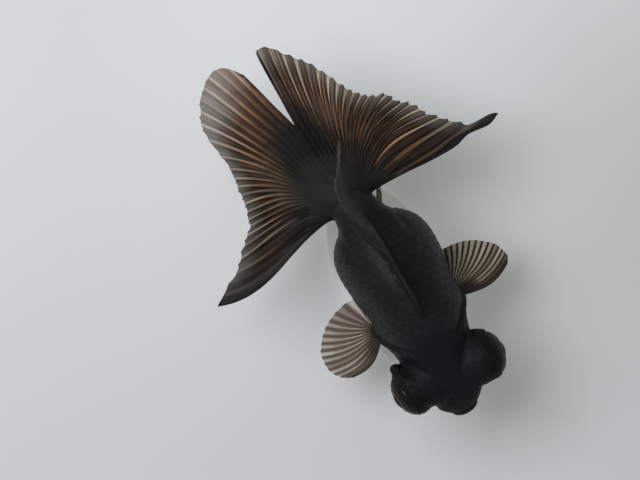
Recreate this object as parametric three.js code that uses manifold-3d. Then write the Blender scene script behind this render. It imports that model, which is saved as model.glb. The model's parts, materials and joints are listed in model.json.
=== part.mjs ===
// A black butterfly-tailed telescope goldfish as a still, life-size display model.
// It is held level in a swimming pose by two short rods on an oval foot. Millimetres, +Z up, head to -Y.
// The origin is the middle of the underside of the foot. The fish is worked out about its own axis, which
// the group at the end lifts to AXIS_HEIGHT.
import * as THREE from "three";
import { mergeVertices } from "three/addons/utils/BufferGeometryUtils.js";
import Module from "manifold-3d";

const wasm = await Module();
wasm.setup();

const rad = THREE.MathUtils.degToRad;
const lerp = THREE.MathUtils.lerp;
const clamp = THREE.MathUtils.clamp;
const vec = (x, y, z) => new THREE.Vector3(x, y, z);

// ---------------------------------------------------------------- driving dimensions
const SIDE = { left: 1, right: -1 }; // the fish's own left is at +X
const GAP = 0.3; // left between neighbouring pieces
const AXIS_HEIGHT = 46; // the fish's axis above the table
const LIPS = -49; // y of the foremost point
const STEM_END = 38; // y of the blunt end of the tail stem
const STEM_START = 26.4; // y of the cut between trunk and tail stem
const FULLNESS = { upper: 2.05, lower: 2.2 }; // of the body's section: 2 is an ellipse, more is boxier
const FACETS = { along: 28, round: 28 }; // of the body
const FINEST = 0.02; // slivers smaller than this are closed up
const REACH = 60; // further out than the body in any direction, for the cutting shapes

const CHEEK = { y: -27, z: -3, back: 14.8, half: 26 }; // the arc that parts the head from the trunk
const COVER = { y: -25.5, z: -2.5, back: 12.6, half: 11.5, front: -22.6, thick: 1.6 }; // the gill covers
const JAW = { back: -41.5, lip: -2.6, corner: -6.2 }; // the slanting cut from the lips to the mouth's corner

const EYE = { x: -0.6, z: 1.2, forward: 7, upward: 5, globe: 7.4, apex: 21, dome: 3.5, drum: 6 };
const EYE_AXIS = { left: -32.4, right: -31.4 }; // y of each eye's axis: the head is turned a little

const TAIL = {
  centre: vec(-2.1, 31.5, 5.5), // where the rays would meet, and their level
  turn: 7, // degrees by which the tail swings to the fish's right
  lift: 13.5, // how far the upper lobes' tips rise
  pull: 0.34, // how long each ray keeps its first and last way
  pleat: 1.5, // height of the pleats at the edge
  pleats: 4, // in each half
  split: 0.47, // the ray that parts the upper lobe from the lower one
  spread: [5, 60], // how wide each half is across its rays, at the root and at the edge
  thick: [1.7, 0.7], // at the root and at the edge
};
const DORSAL = { front: -11, rear: 19, sunk: 3, thick: [1.3, 0.6] };
const PAIRED_THICK = [1.3, 0.6];

const FOOT = { halfX: 20, halfY: 40, height: 5, bevel: 1.2 };
const ROD = { radius: 1.5, sunk: 1.5, top: -10, places: { front: -14, rear: 10 } };

// ---------------------------------------------------------------- helpers
// A smooth curve through (place, value) stations that never swings past them.
function through(stations) {
  const x = stations.map((s) => s[0]);
  const y = stations.map((s) => s[1]);
  const last = x.length - 1;
  const slope = x.slice(1).map((xi, i) => (y[i + 1] - y[i]) / (xi - x[i]));
  const tangent = y.map((_, i) => {
    if (i === 0) return slope[0];
    if (i === last) return slope[last - 1];
    if (slope[i - 1] * slope[i] <= 0) return 0;
    return (2 * slope[i - 1] * slope[i]) / (slope[i - 1] + slope[i]);
  });
  return (at) => {
    const place = clamp(at, x[0], x[last]);
    const next = x.findIndex((xi) => xi > place);
    const i = next < 0 ? last - 1 : Math.max(0, next - 1);
    const h = x[i + 1] - x[i];
    const t = (place - x[i]) / h;
    const ends = y[i] * (2 * t ** 3 - 3 * t ** 2 + 1) + y[i + 1] * (3 * t ** 2 - 2 * t ** 3);
    return ends + h * (tangent[i] * (t ** 3 - 2 * t ** 2 + t) + tangent[i + 1] * (t ** 3 - t ** 2));
  };
}

// A geometry as a manifold solid, turned right side out.
function solid(geometry) {
  const bare = geometry.clone();
  bare.deleteAttribute("normal");
  bare.deleteAttribute("uv");
  const merged = mergeVertices(bare, 1e-4);
  const vertProperties = merged.attributes.position.array;
  const triVerts = new Uint32Array(merged.index.array);
  const make = () => new wasm.Manifold(new wasm.Mesh({ numProp: 3, vertProperties, triVerts }));
  const made = make();
  if (made.volume() > 0) return made;
  for (let i = 0; i < triVerts.length; i += 3) {
    [triVerts[i + 1], triVerts[i + 2]] = [triVerts[i + 2], triVerts[i + 1]];
  }
  return make();
}

// The largest piece of a solid, back as a three.js geometry.
function geometryOf(manifold) {
  const largest = manifold.decompose().sort((a, b) => b.volume() - a.volume())[0];
  const mesh = largest.simplify(FINEST).getMesh();
  const geometry = new THREE.BufferGeometry();
  geometry.setAttribute("position", new THREE.BufferAttribute(mesh.vertProperties, 3));
  geometry.setIndex(new THREE.BufferAttribute(mesh.triVerts, 1));
  geometry.computeVertexNormals();
  return geometry;
}

// Moves every vertex of a geometry to where place(x, y, z) says.
function remap(geometry, place) {
  const position = geometry.attributes.position;
  for (let i = 0; i < position.count; i++) {
    const p = place(position.getX(i), position.getY(i), position.getZ(i));
    position.setXYZ(i, p.x, p.y, p.z);
  }
  return geometry;
}

function boxSolid(low, high) {
  const size = high.clone().sub(low);
  const geometry = new THREE.BoxGeometry(size.x, size.y, size.z);
  geometry.translate(...low.clone().add(high).multiplyScalar(0.5).toArray());
  return solid(geometry);
}

// A slab across the whole fish, with the outline given in the YZ plane.
function slab(shape) {
  const options = { depth: 2 * REACH, bevelEnabled: false, curveSegments: 40 };
  const geometry = new THREE.ExtrudeGeometry(shape, options);
  return solid(remap(geometry, (y, z, x) => vec(x - REACH, y, z)));
}

// ---------------------------------------------------------------- the body
// The place along the body, from 0 at the lips to 1 at the stem's end, spaced so that both ends are round.
const lengthwise = (y) => Math.acos(clamp(1 - (2 * (y - LIPS)) / (STEM_END - LIPS), -1, 1)) / Math.PI;
const alongBody = (stations) => through(stations.map(([y, value]) => [lengthwise(y), value]));

const halfWidth = alongBody([
  [-49, 0], [-46.5, 5.5], [-42, 9.3], [-36, 10.6], [-29, 12], [-20, 14.5], [-12, 16.5], [-5, 16.3],
  [3, 17.6], [11, 18], [16, 17.4], [20, 15.7], [24, 12.2], [26.6, 9.4], [30, 8.4], [34, 7], [36.6, 4.4],
  [38, 0],
]);
const back = alongBody([
  [-49, -2.4], [-47.6, 1.6], [-45, 4.6], [-41, 7.6], [-34, 11.3], [-26, 15.6], [-17, 19.8], [-8, 22.4],
  [0, 23], [9, 21.7], [17, 18.6], [24, 15.2], [29, 13.2], [34, 12], [36.8, 9.8], [38, 5.5],
]);
const belly = alongBody([
  [-49, -2.4], [-47.6, -5.6], [-45, -8.2], [-41, -11], [-34, -14.8], [-24, -18.8], [-12, -22], [-2, -23],
  [8, -22], [15, -18.6], [20, -14], [24, -9.2], [28, -4.8], [32, -2], [36.4, 0.6], [38, 5.5],
]);
const widest = alongBody([[-49, -2.4], [-36, -1.6], [-14, -3], [8, -4], [20, -2], [27, 3], [38, 5.5]]);
const sway = alongBody([[-49, -0.9], [-30, -0.5], [-10, 0.6], [4, 0.5], [18, 0], [26, -0.9], [38, -2.7]]);

// A point of the body's surface, moved out by grow: s from lips to stem, turn round the body.
function bodyPoint(s, turn, grow) {
  const c = Math.cos(turn);
  const n = Math.sin(turn);
  const power = 2 / (n >= 0 ? FULLNESS.upper : FULLNESS.lower);
  const middle = widest(s);
  const height = n >= 0 ? back(s) - middle : middle - belly(s);
  return vec(
    sway(s) + (halfWidth(s) + grow) * Math.sign(c) * Math.abs(c) ** power,
    lerp(LIPS, STEM_END, (1 - Math.cos(Math.PI * s)) / 2) - grow * Math.cos(Math.PI * s),
    middle + (height + grow) * Math.sign(n) * Math.abs(n) ** power,
  );
}

function bodySolid(grow = 0) {
  const ball = new THREE.SphereGeometry(1, FACETS.round, FACETS.along);
  const shaped = remap(ball, (x, y, z) => {
    const s = Math.acos(clamp(y, -1, 1)) / Math.PI;
    const p = bodyPoint(s, Math.atan2(z, x), grow);
    const atPole = Math.abs(y) > 1 - 1e-9;
    return atPole ? vec(sway(s), p.y, widest(s)) : p;
  });
  return solid(shaped);
}

// Everything in front of the arc behind the cheeks, with the arc moved back by grow.
function headZone(grow) {
  const shape = new THREE.Shape();
  shape.moveTo(CHEEK.y, CHEEK.z - CHEEK.half - grow);
  shape.absellipse(CHEEK.y, CHEEK.z, CHEEK.back + grow, CHEEK.half + grow, -Math.PI / 2, Math.PI / 2, false);
  shape.lineTo(-REACH, CHEEK.z + CHEEK.half + grow);
  shape.lineTo(-REACH, CHEEK.z - CHEEK.half - grow);
  return slab(shape);
}

// The side of the head that a gill cover takes, its outline moved out by grow.
function coverZone(grow) {
  const shape = new THREE.Shape();
  shape.absellipse(COVER.y, COVER.z, COVER.back + grow, COVER.half + grow, 0, 2 * Math.PI, false);
  return slab(shape);
}

// The chin, below the cut from the lips to the corner of the mouth, with the cut raised by grow.
function jawZone(grow) {
  const shape = new THREE.Shape();
  shape.moveTo(-REACH, JAW.lip + grow);
  shape.lineTo(LIPS, JAW.lip + grow);
  shape.lineTo(JAW.back + grow, JAW.corner + grow);
  shape.lineTo(JAW.back + grow, -REACH);
  shape.lineTo(-REACH, -REACH);
  return slab(shape);
}

// ---------------------------------------------------------------- the eyes
// A lathed piece aimed sideways. Its profile is (radius, distance out from the middle of the head).
function sideways(profile, name, facets) {
  const lathe = new THREE.LatheGeometry(profile.map(([r, out]) => new THREE.Vector2(r, out)), facets);
  const aim = towards(-EYE.forward, EYE.upward);
  aim.x *= SIDE[name];
  lathe.applyQuaternion(new THREE.Quaternion().setFromUnitVectors(vec(0, 1, 0), aim));
  lathe.translate(EYE.x, EYE_AXIS[name], EYE.z);
  return solid(lathe);
}

// The fleshy barrel that carries the eye narrows outwards, with a shallow seat for the globe in its end.
function socketProfile() {
  const seat = EYE.apex - EYE.drum - GAP;
  const bore = EYE.globe + GAP;
  const flesh = [[0, 4], [8.6, 4], [9.5, 7.5], [9.7, 10.5], [9.5, 13], [9.3, 14.8], [8.9, 16.3], [8.3, 17.3]];
  return [...flesh, [bore + 0.25, 17.6], [bore, 17], [bore, seat], [0, seat]];
}

// The globe: a drum in the seat under a clear, high dome.
function globeProfile() {
  const radius = (EYE.globe ** 2 + EYE.dome ** 2) / (2 * EYE.dome);
  const opening = Math.asin(EYE.globe / radius);
  const steps = 6;
  const dome = Array.from({ length: steps + 1 }, (_, i) => {
    const a = opening * (1 - i / steps);
    return [i === steps ? 0 : radius * Math.sin(a), EYE.apex - radius * (1 - Math.cos(a))];
  });
  return [[0, EYE.apex - EYE.drum], [EYE.globe, EYE.apex - EYE.drum], ...dome];
}

// ---------------------------------------------------------------- fins
// A sheet with thickness: surface(u, v) is its middle, u over the rays and v out along them.
function sheetSolid(surface, across, along, [rootThick, edgeThick]) {
  const step = 1e-3;
  const box = new THREE.BoxGeometry(1, 1, 1, across, along, 1);
  return solid(
    remap(box, (x, y, z) => {
      const u = clamp(x + 0.5, step, 1 - step);
      const v = clamp(y + 0.5, step, 1 - step);
      const overRays = surface(u + step, v).sub(surface(u - step, v));
      const alongRay = surface(u, v + step).sub(surface(u, v - step));
      const normal = overRays.cross(alongRay).normalize();
      return surface(x + 0.5, y + 0.5).addScaledVector(normal, z * lerp(rootThick, edgeThick, v));
    }),
  );
}

// A way in space, in degrees: heading from +X towards +Y, then raised.
function towards(heading, raised) {
  const level = Math.cos(rad(raised));
  return vec(level * Math.cos(rad(heading)), level * Math.sin(rad(heading)), Math.sin(rad(raised)));
}

// The butterfly tail, in its own frame: x outwards from the midline, y back along it, and z up.
// Each half's outline is the length of its rays by the angle of their tips from the midline. leaves and
// arrives say how the foremost ray leaves its root and comes to its tip, in degrees from the midline.
const tailHalves = {
  left: {
    inner: 3.3,
    outer: 93.2,
    length: through([
      [3.3, 59], [6, 61], [12, 55.5], [20, 50], [26, 44.5], [34, 39.5], [44, 37.6], [56, 38.8], [68, 40.2],
      [77, 41.8], [84, 45.5], [90, 50.5], [93.2, 59.3],
    ]),
    droop: -8.5,
    leaves: 95,
    arrives: 84,
  },
  right: {
    inner: 4.2,
    outer: 90.6,
    length: through([
      [4.2, 58], [10, 66.2], [19, 63.4], [26, 58.5], [32, 49.5], [38, 43], [46, 39], [55, 36.2], [64, 35.8],
      [72, 38.8], [78, 42], [84, 46.5], [87, 52], [90.6, 57],
    ]),
    droop: -9.5,
    leaves: 88,
    arrives: 62,
  },
};

function tailPoint(name, u, v) {
  const half = tailHalves[name];
  const fanned = Math.sin((u * Math.PI) / 2);
  const angle = lerp(half.inner, half.outer, u);
  const length = half.length(angle);
  const away = (degrees, far) => vec(far * Math.sin(rad(degrees)), far * Math.cos(rad(degrees)), 0);
  const root = vec(0.35 + 5.2 * fanned, lerp(2.5, 1.2, u), lerp(4.6, -3.4, u));
  const tip = away(angle, length).setZ(lerp(TAIL.lift, half.droop, u ** 0.75));
  const leave = away(lerp(0, half.leaves, u ** 0.8), TAIL.pull * length).setZ(lerp(4, 2.5, u));
  const arrive = away(lerp(8, half.arrives, fanned), TAIL.pull * length).setZ(-2.5);
  const ray = new THREE.CubicBezierCurve3(root, root.clone().add(leave), tip.clone().sub(arrive), tip);
  const p = ray.getPoint(v);
  const fromMidline = Math.min(1, 6 * u);
  p.z += TAIL.pleat * v ** 1.6 * fromMidline * Math.sin(2 * Math.PI * (TAIL.pleats * u + 0.1));
  p.x = SIDE[name] * Math.max(p.x, GAP);
  return p.applyAxisAngle(vec(0, 0, 1), rad(TAIL.turn)).add(TAIL.centre);
}

// The lobe above the split or below it, with half a gap left free along the split.
function tailLobe(name, isUpper) {
  const surface = (u, v) => {
    const free = GAP / 2 / lerp(...TAIL.spread, v);
    return tailPoint(name, isUpper ? u * (TAIL.split - free) : lerp(TAIL.split + free, 1, u), v);
  };
  return sheetSolid(surface, 12, 6, TAIL.thick);
}

// A thin upright slab on the tail's midline, which keeps its halves apart.
function tailMidline() {
  const shape = new THREE.BoxGeometry(GAP, 2 * REACH, 2 * REACH);
  shape.rotateZ(rad(TAIL.turn));
  shape.translate(...TAIL.centre.toArray());
  return solid(shape);
}

// A fin that opens as a fan from a short root line. Its rays turn from the leading angle to the trailing
// one, out being the way of a ray at 0 degrees and backward that of a ray at 90 degrees.
function fanPoint(fin, u, v) {
  const angle = rad(fin.angle(u));
  const turned = (along, beside) => {
    return fin.out.clone().multiplyScalar(along).addScaledVector(fin.backward, beside);
  };
  const way = turned(Math.cos(angle), Math.sin(angle));
  const behind = turned(-Math.sin(angle), Math.cos(angle));
  const face = fin.out.clone().cross(fin.backward).normalize();
  return fin.root
    .clone()
    .addScaledVector(fin.base, u - 0.5)
    .addScaledVector(way, lerp(-fin.buried, fin.length(u), v))
    .addScaledVector(behind, -fin.bow * (1 - u) * Math.sin(Math.PI * v))
    .addScaledVector(face, fin.cup * v * v);
}

function mirrored(fin) {
  const flip = (p) => vec(-p.x, p.y, p.z);
  const { root, base, out, backward } = fin;
  return {
    ...fin,
    root: flip(root),
    base: flip(base),
    out: flip(out),
    backward: flip(backward),
    cup: -fin.cup,
  };
}

// The breast fins, held out level as paddles. The fish's right one is swung further forward.
function pectoral(angle, length) {
  return {
    root: vec(15.6, -10.2, -13),
    base: vec(0, 5.2, -1.6),
    out: towards(0, -9),
    backward: towards(90, -12),
    angle: through(angle),
    length: through(length),
    buried: 3,
    bow: 3.6,
    cup: -1.2,
  };
}
const pectoralLeft = pectoral(
  [[0, 8], [0.12, 11.5], [0.3, 22.5], [0.5, 36.5], [0.7, 50.5], [0.85, 64], [1, 78]],
  [[0, 21.4], [0.12, 23], [0.3, 21.5], [0.5, 18.8], [0.7, 16], [0.85, 13.6], [1, 10.6]],
);
const pectoralRight = pectoral(
  [[0, -19], [0.15, -4], [0.3, 6], [0.5, 20], [0.7, 35], [0.85, 51.5], [1, 74]],
  [[0, 18], [0.15, 21.4], [0.3, 21.2], [0.5, 18.8], [0.7, 15.8], [0.85, 13.3], [1, 11]],
);

// The belly fins, hanging back and a little outwards.
const pelvic = {
  root: vec(5.4, -4.6, -20.3),
  base: vec(0.8, 4, 0.3),
  out: towards(52, -34),
  backward: towards(118, 2),
  angle: through([[0, 2], [0.5, 26], [1, 52]]),
  length: through([[0, 17.5], [0.2, 19], [0.6, 15.5], [1, 10.5]]),
  buried: 3,
  bow: 1,
  cup: 1.6,
};

// The two anal fins hang side by side under the tail stem.
function anal(outwards) {
  return {
    root: vec(3.9, 21.4, -9.6),
    base: vec(0.4, 4.2, 3.2),
    out: towards(90 - outwards, -44),
    backward: towards(92 - outwards, 38),
    angle: through([[0, 0], [0.5, 20], [1, 40]]),
    length: through([[0, 17], [0.25, 18.5], [0.6, 15], [1, 11]]),
    buried: 3,
    bow: 1.2,
    cup: 0.8,
  };
}

// The back fin, swept low over the stem, with its free end swinging to the fish's left.
const dorsalLean = through([[-12, 0.6], [8, 0.3], [20, -1.1], [30, -2.6], [37, -1.6], [45, 2], [54, 6]]);
const dorsalRise = through([[0, 46], [0.25, 34], [0.5, 23.5], [0.75, 13], [1, 6]]);
const dorsalLength = through([
  [0, 27], [0.12, 33.5], [0.3, 38.5], [0.5, 41.5], [0.75, 41.5], [0.9, 36], [1, 27],
]);

function dorsalPoint(u, v) {
  const rootY = lerp(DORSAL.front, DORSAL.rear, u);
  const rise = rad(dorsalRise(u));
  const out = lerp(-DORSAL.sunk, dorsalLength(u), v);
  const bulge = 1.6 * Math.sin(Math.PI * v) * (1 - u);
  const y = rootY + out * Math.cos(rise) - bulge * Math.sin(rise);
  const z = back(lengthwise(rootY)) + out * Math.sin(rise) + bulge * Math.cos(rise);
  const ripple = 0.5 * v * Math.sin(2 * Math.PI * (2.5 * u + 0.6 * v));
  return vec(dorsalLean(y) + ripple, y, z);
}

// ---------------------------------------------------------------- the stand
function footGeometry() {
  const chamfer = FOOT.bevel / FOOT.halfX;
  const profile = [
    [0, 0], [1 - chamfer / 2, 0], [1, FOOT.bevel / 2], [1, FOOT.height - FOOT.bevel],
    [1 - chamfer, FOOT.height], [0, FOOT.height],
  ];
  const lathe = new THREE.LatheGeometry(profile.map(([r, z]) => new THREE.Vector2(r, z)), 32);
  return remap(lathe, (x, z, y) => vec(x * FOOT.halfX, y * FOOT.halfY, z));
}

// An upright cylinder between two heights, under the middle of the body at y.
function rodShape(y, radius, low, high) {
  const rod = new THREE.CylinderGeometry(radius, radius, high - low, 20);
  rod.rotateX(Math.PI / 2);
  rod.translate(sway(lengthwise(y)), y, (low + high) / 2);
  return solid(rod);
}
const rodSolid = (y) => rodShape(y, ROD.radius, FOOT.height - ROD.sunk - AXIS_HEIGHT, ROD.top);
const rodHole = (y) => rodShape(y, ROD.radius + GAP, FOOT.height - ROD.sunk - GAP, 2 * FOOT.height);

// ---------------------------------------------------------------- putting it together
const whole = bodySolid();
const cleared = bodySolid(GAP); // what every other piece keeps clear of
const inner = bodySolid(-COVER.thick);
const innerCleared = bodySolid(-COVER.thick - GAP);
const flank = (low, high, front) => boxSolid(vec(low, front, -REACH), vec(high, 0, REACH));

const coverPocket = coverZone(GAP).intersect(flank(-REACH, REACH, COVER.front - GAP)).subtract(innerCleared);
const coverShell = whole.subtract(inner).intersect(coverZone(0));
const behindHead = whole.subtract(headZone(GAP));
const beforeStem = boxSolid(vec(-REACH, -REACH, -REACH), vec(REACH, STEM_START - GAP / 2, REACH));
const behindTrunk = boxSolid(vec(-REACH, STEM_START + GAP / 2, -REACH), vec(REACH, REACH, REACH));
const socket = (name) => sideways(socketProfile(), name, 22).subtract(cleared);
const globe = (name) => sideways(globeProfile(), name, 20);

const pieces = {
  head: [whole.intersect(headZone(0)).subtract(jawZone(0)).subtract(coverPocket), "skin"],
  lower_jaw: [whole.intersect(jawZone(-GAP)), "skin"],
  gill_cover_left: [coverShell.intersect(flank(0, REACH, COVER.front)), "skin"],
  gill_cover_right: [coverShell.intersect(flank(-REACH, 0, COVER.front)), "skin"],
  trunk: [behindHead.intersect(beforeStem), "skin"],
  tail_stem: [behindHead.intersect(behindTrunk), "skin"],
  eye_socket_left: [socket("left"), "skin"],
  eye_socket_right: [socket("right"), "skin"],
  eye_left: [globe("left"), "eye"],
  eye_right: [globe("right"), "eye"],
  dorsal_fin: [sheetSolid(dorsalPoint, 13, 6, DORSAL.thick).subtract(cleared), "fin"],
};

const tailClearance = cleared.add(tailMidline());
for (const name of Object.keys(tailHalves)) {
  pieces[`tail_upper_${name}`] = [tailLobe(name, true).subtract(tailClearance), "fin"];
  pieces[`tail_lower_${name}`] = [tailLobe(name, false).subtract(tailClearance), "fin"];
}

const pairedFins = {
  pectoral_fin_left: [pectoralLeft, 12],
  pectoral_fin_right: [mirrored(pectoralRight), 12],
  pelvic_fin_left: [pelvic, 8],
  pelvic_fin_right: [mirrored(pelvic), 8],
  anal_fin_left: [anal(24), 7],
  anal_fin_right: [mirrored(anal(12)), 7],
};
for (const [name, [fin, across]] of Object.entries(pairedFins)) {
  const sheet = sheetSolid((u, v) => fanPoint(fin, u, v), across, 5, PAIRED_THICK);
  pieces[name] = [sheet.subtract(cleared), "fin"];
}

for (const [name, y] of Object.entries(ROD.places)) {
  pieces[`stand_rod_${name}`] = [rodSolid(y).subtract(cleared), "steel"];
}

const materials = {
  skin: new THREE.MeshStandardMaterial({ color: 0x17181a, roughness: 0.55, metalness: 0 }),
  eye: new THREE.MeshStandardMaterial({ color: 0x0a0a0c, roughness: 0.08, metalness: 0 }),
  fin: new THREE.MeshStandardMaterial({ color: 0x3a2a20, roughness: 0.5, metalness: 0 }),
  steel: new THREE.MeshStandardMaterial({ color: 0xb4b7ba, roughness: 0.3, metalness: 1 }),
  foot: new THREE.MeshStandardMaterial({ color: 0xd9dadb, roughness: 0.45, metalness: 0 }),
};

const fish = new THREE.Group();
fish.position.z = AXIS_HEIGHT;
for (const [name, [made, material]] of Object.entries(pieces)) {
  const mesh = new THREE.Mesh(geometryOf(made), materials[material]);
  mesh.name = name;
  fish.add(mesh);
}

const holes = Object.values(ROD.places).map(rodHole);
const bored = holes.reduce((made, hole) => made.subtract(hole), solid(footGeometry()));
const foot = new THREE.Mesh(geometryOf(bored), materials.foot);
foot.name = "stand_foot";

const model = new THREE.Group();
model.add(fish, foot);

export default model;
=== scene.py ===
# %% [markdown]
# # A black butterfly-tailed telescope goldfish
#
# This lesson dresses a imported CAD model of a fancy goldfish: one smooth skin with telescope eyes, rows of
# scales, fins of thin membrane over bony rays, and a small display stand. The CAD solids are the fixed frame:
# they say where everything is, and nothing here moves or resizes them.

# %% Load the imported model
import json
import math

import bpy
import numpy as np
from mathutils import Matrix, Vector
from mathutils.bvhtree import BVHTree

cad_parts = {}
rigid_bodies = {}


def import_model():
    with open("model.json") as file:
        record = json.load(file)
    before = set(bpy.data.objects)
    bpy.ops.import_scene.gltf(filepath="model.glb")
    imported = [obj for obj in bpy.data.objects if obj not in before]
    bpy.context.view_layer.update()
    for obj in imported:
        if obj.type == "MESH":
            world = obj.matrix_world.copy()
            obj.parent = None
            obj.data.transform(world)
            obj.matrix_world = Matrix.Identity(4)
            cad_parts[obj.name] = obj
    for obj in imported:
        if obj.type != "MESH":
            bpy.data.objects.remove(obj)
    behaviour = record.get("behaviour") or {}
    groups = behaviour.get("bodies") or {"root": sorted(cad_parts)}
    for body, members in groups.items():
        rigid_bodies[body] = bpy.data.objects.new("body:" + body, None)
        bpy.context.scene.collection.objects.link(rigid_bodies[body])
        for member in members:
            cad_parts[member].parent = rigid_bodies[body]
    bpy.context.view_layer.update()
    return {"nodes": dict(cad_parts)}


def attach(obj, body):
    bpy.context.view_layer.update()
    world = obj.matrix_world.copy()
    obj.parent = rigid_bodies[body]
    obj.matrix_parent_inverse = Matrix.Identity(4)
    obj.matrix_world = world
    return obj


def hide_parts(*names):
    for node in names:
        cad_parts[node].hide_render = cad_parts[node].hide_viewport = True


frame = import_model()
print("CAD nodes:", len(frame["nodes"]))

# %% [markdown]
# Fish shapes are easiest to think of in millimetres about the fish's own axis: x to its left, y towards its
# tail, z up. Blender's scene is in metres with z = 0 on the table, so finished points pass through `placed`.
# Smooth outlines come from a few stations joined by a curve that never swings past them, the same curve as
# in the CAD source, so that skin and solids agree.

# %% Places and curves
MM = 0.001
AXIS_HEIGHT = 46


def placed(points):
    """Millimetres about the fish's axis to metres above the table."""
    return (np.asarray(points, float) + (0, 0, AXIS_HEIGHT)) * MM


def through(stations):
    """A smooth curve through (place, value) stations."""
    x, y = np.array(stations, float).T
    step = np.diff(x)
    slope = np.diff(y) / step
    turns = slope[:-1] * slope[1:] <= 0
    total = np.where(turns, 1, slope[:-1] + slope[1:])
    inside = np.where(turns, 0, 2 * slope[:-1] * slope[1:] / total)
    tangent = np.concatenate([slope[:1], inside, slope[-1:]])

    def curve(at):
        at = np.clip(np.asarray(at, float), x[0], x[-1])
        i = np.clip(np.searchsorted(x, at, side="right") - 1, 0, len(step) - 1)
        t = (at - x[i]) / step[i]
        ends = y[i] * (2 * t**3 - 3 * t**2 + 1) + y[i + 1] * (3 * t**2 - 2 * t**3)
        bend = tangent[i] * (t**3 - 2 * t**2 + t) + tangent[i + 1] * (t**3 - t**2)
        return ends + step[i] * bend

    return curve


def lerp(a, b, t):
    return a + (b - a) * t


def smooth_step(low, high, value):
    t = np.clip((value - low) / (high - low), 0, 1)
    return t * t * (3 - 2 * t)


def bump(value, centre, half):
    """A soft hill: 1 at centre, fading to 0 about twice half away."""
    return np.exp(-(((value - centre) / half) ** 2))


def stacked(x, y, z):
    """Points from their coordinates, each an array or one number for all."""
    return np.stack(np.broadcast_arrays(x, y, z), axis=-1)


print("axis height, mm:", AXIS_HEIGHT)

# %% [markdown]
# The body is an egg that narrows to a short, deep tail stem. Five curves along it give its half width, back,
# belly, the level where it is widest and its slight sideways bend. `body_point` wraps a boxed ellipse round
# them. The place `s` along the body is spaced so that both ends come out round, not pointed.

# %% The body's form
LIPS, STEM_END = -49, 38
FULLNESS = {"upper": 2.05, "lower": 2.2}


def lengthwise(y):
    """The place s along the body, 0 at the lips and 1 at the stem's end, of a y in millimetres."""
    return np.arccos(np.clip(1 - 2 * (y - LIPS) / (STEM_END - LIPS), -1, 1)) / np.pi


def along_body(*stations):
    return through([(lengthwise(y), value) for y, value in stations])


half_width = along_body(
    (-49, 0), (-46.5, 5.9), (-42, 9.6), (-36, 10.6), (-29, 12), (-20, 14.5), (-12, 16.5), (-5, 16.3),
    (3, 17.6), (11, 18), (16, 17.4), (20, 15.7), (24, 12.2), (26.6, 9.4), (30, 8.4), (34, 7), (36.6, 4.4),
    (38, 0),
)
back = along_body(
    (-49, -2.4), (-47.6, 1.6), (-45, 4.6), (-41, 7.6), (-34, 11.3), (-26, 15.6), (-17, 19.8), (-8, 22.4),
    (0, 23), (9, 21.7), (17, 18.6), (24, 15.2), (29, 13.2), (34, 12), (36.8, 9.8), (38, 5.5),
)
belly = along_body(
    (-49, -2.4), (-47.6, -5.6), (-45, -8.2), (-41, -11), (-34, -14.8), (-24, -18.8), (-12, -22), (-2, -23),
    (8, -22), (15, -18.6), (20, -14), (24, -9.2), (28, -4.8), (32, -2), (36.4, 0.6), (38, 5.5),
)
widest = along_body((-49, -2.4), (-36, -1.6), (-14, -3), (8, -4), (20, -2), (27, 3), (38, 5.5))
sway = along_body(
    (-49, -1.3), (-42, -1.1), (-30, -0.5), (-10, 0.6), (4, 0.5), (18, 0), (26, -0.9), (38, -2.7)
)


def body_point(s, turn, grow=0.0):
    """A point of the body's surface, moved out by grow: s from lips to stem, turn round the body."""
    c, n = np.cos(turn), np.sin(turn)
    power = 2 / np.where(n >= 0, FULLNESS["upper"], FULLNESS["lower"])
    height = np.where(n >= 0, back(s) - widest(s), widest(s) - belly(s))
    x = sway(s) + (half_width(s) + grow) * np.sign(c) * np.abs(c) ** power
    y = lerp(LIPS, STEM_END, (1 - np.cos(np.pi * s)) / 2) - grow * np.cos(np.pi * s)
    z = widest(s) + (height + grow) * np.sign(n) * np.abs(n) ** power
    return stacked(x, y, z)


print("body width and depth, mm:", 2 * half_width(lengthwise(8)), back(0.5) - belly(0.5))

# %% [markdown]
# A finished piece keeps its place in its mesh, with its object at the origin. These helpers read and write a
# mesh's vertices as one array, and they join, modify or shade pieces. An operator acts on all that is
# selected, so each helper first selects its own piece and nothing else.

# %% Mesh helpers
def vertices(piece):
    found = np.empty(3 * len(piece.data.vertices))
    piece.data.vertices.foreach_get("co", found)
    return found.reshape(-1, 3)


def set_vertices(piece, points):
    piece.data.vertices.foreach_set("co", np.asarray(points, float).ravel())
    piece.data.update()


def vertex_normals(piece):
    found = np.empty(3 * len(piece.data.vertices))
    piece.data.vertex_normals.foreach_get("vector", found)
    return found.reshape(-1, 3)


def fresh():
    """Nothing is selected, so that the next operator acts on its own piece only."""
    bpy.ops.object.select_all(action="DESELECT")


def picked(*pieces):
    """Only these pieces are selected, and the first one is active."""
    fresh()
    for piece in pieces:
        piece.select_set(True)
    bpy.context.view_layer.objects.active = pieces[0]


def named(name):
    piece = bpy.context.object
    piece.name = name
    piece.data.name = name
    return piece


def joined(pieces, name):
    picked(*pieces)
    bpy.ops.object.join()
    return named(name)


def modify(piece, kind, **settings):
    picked(piece)
    modifier = piece.modifiers.new(kind, kind)
    for key, value in settings.items():
        setattr(modifier, key, value)
    bpy.ops.object.modifier_apply(modifier=modifier.name)


def smooth_shaded(piece):
    picked(piece)
    bpy.ops.object.shade_smooth()


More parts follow.
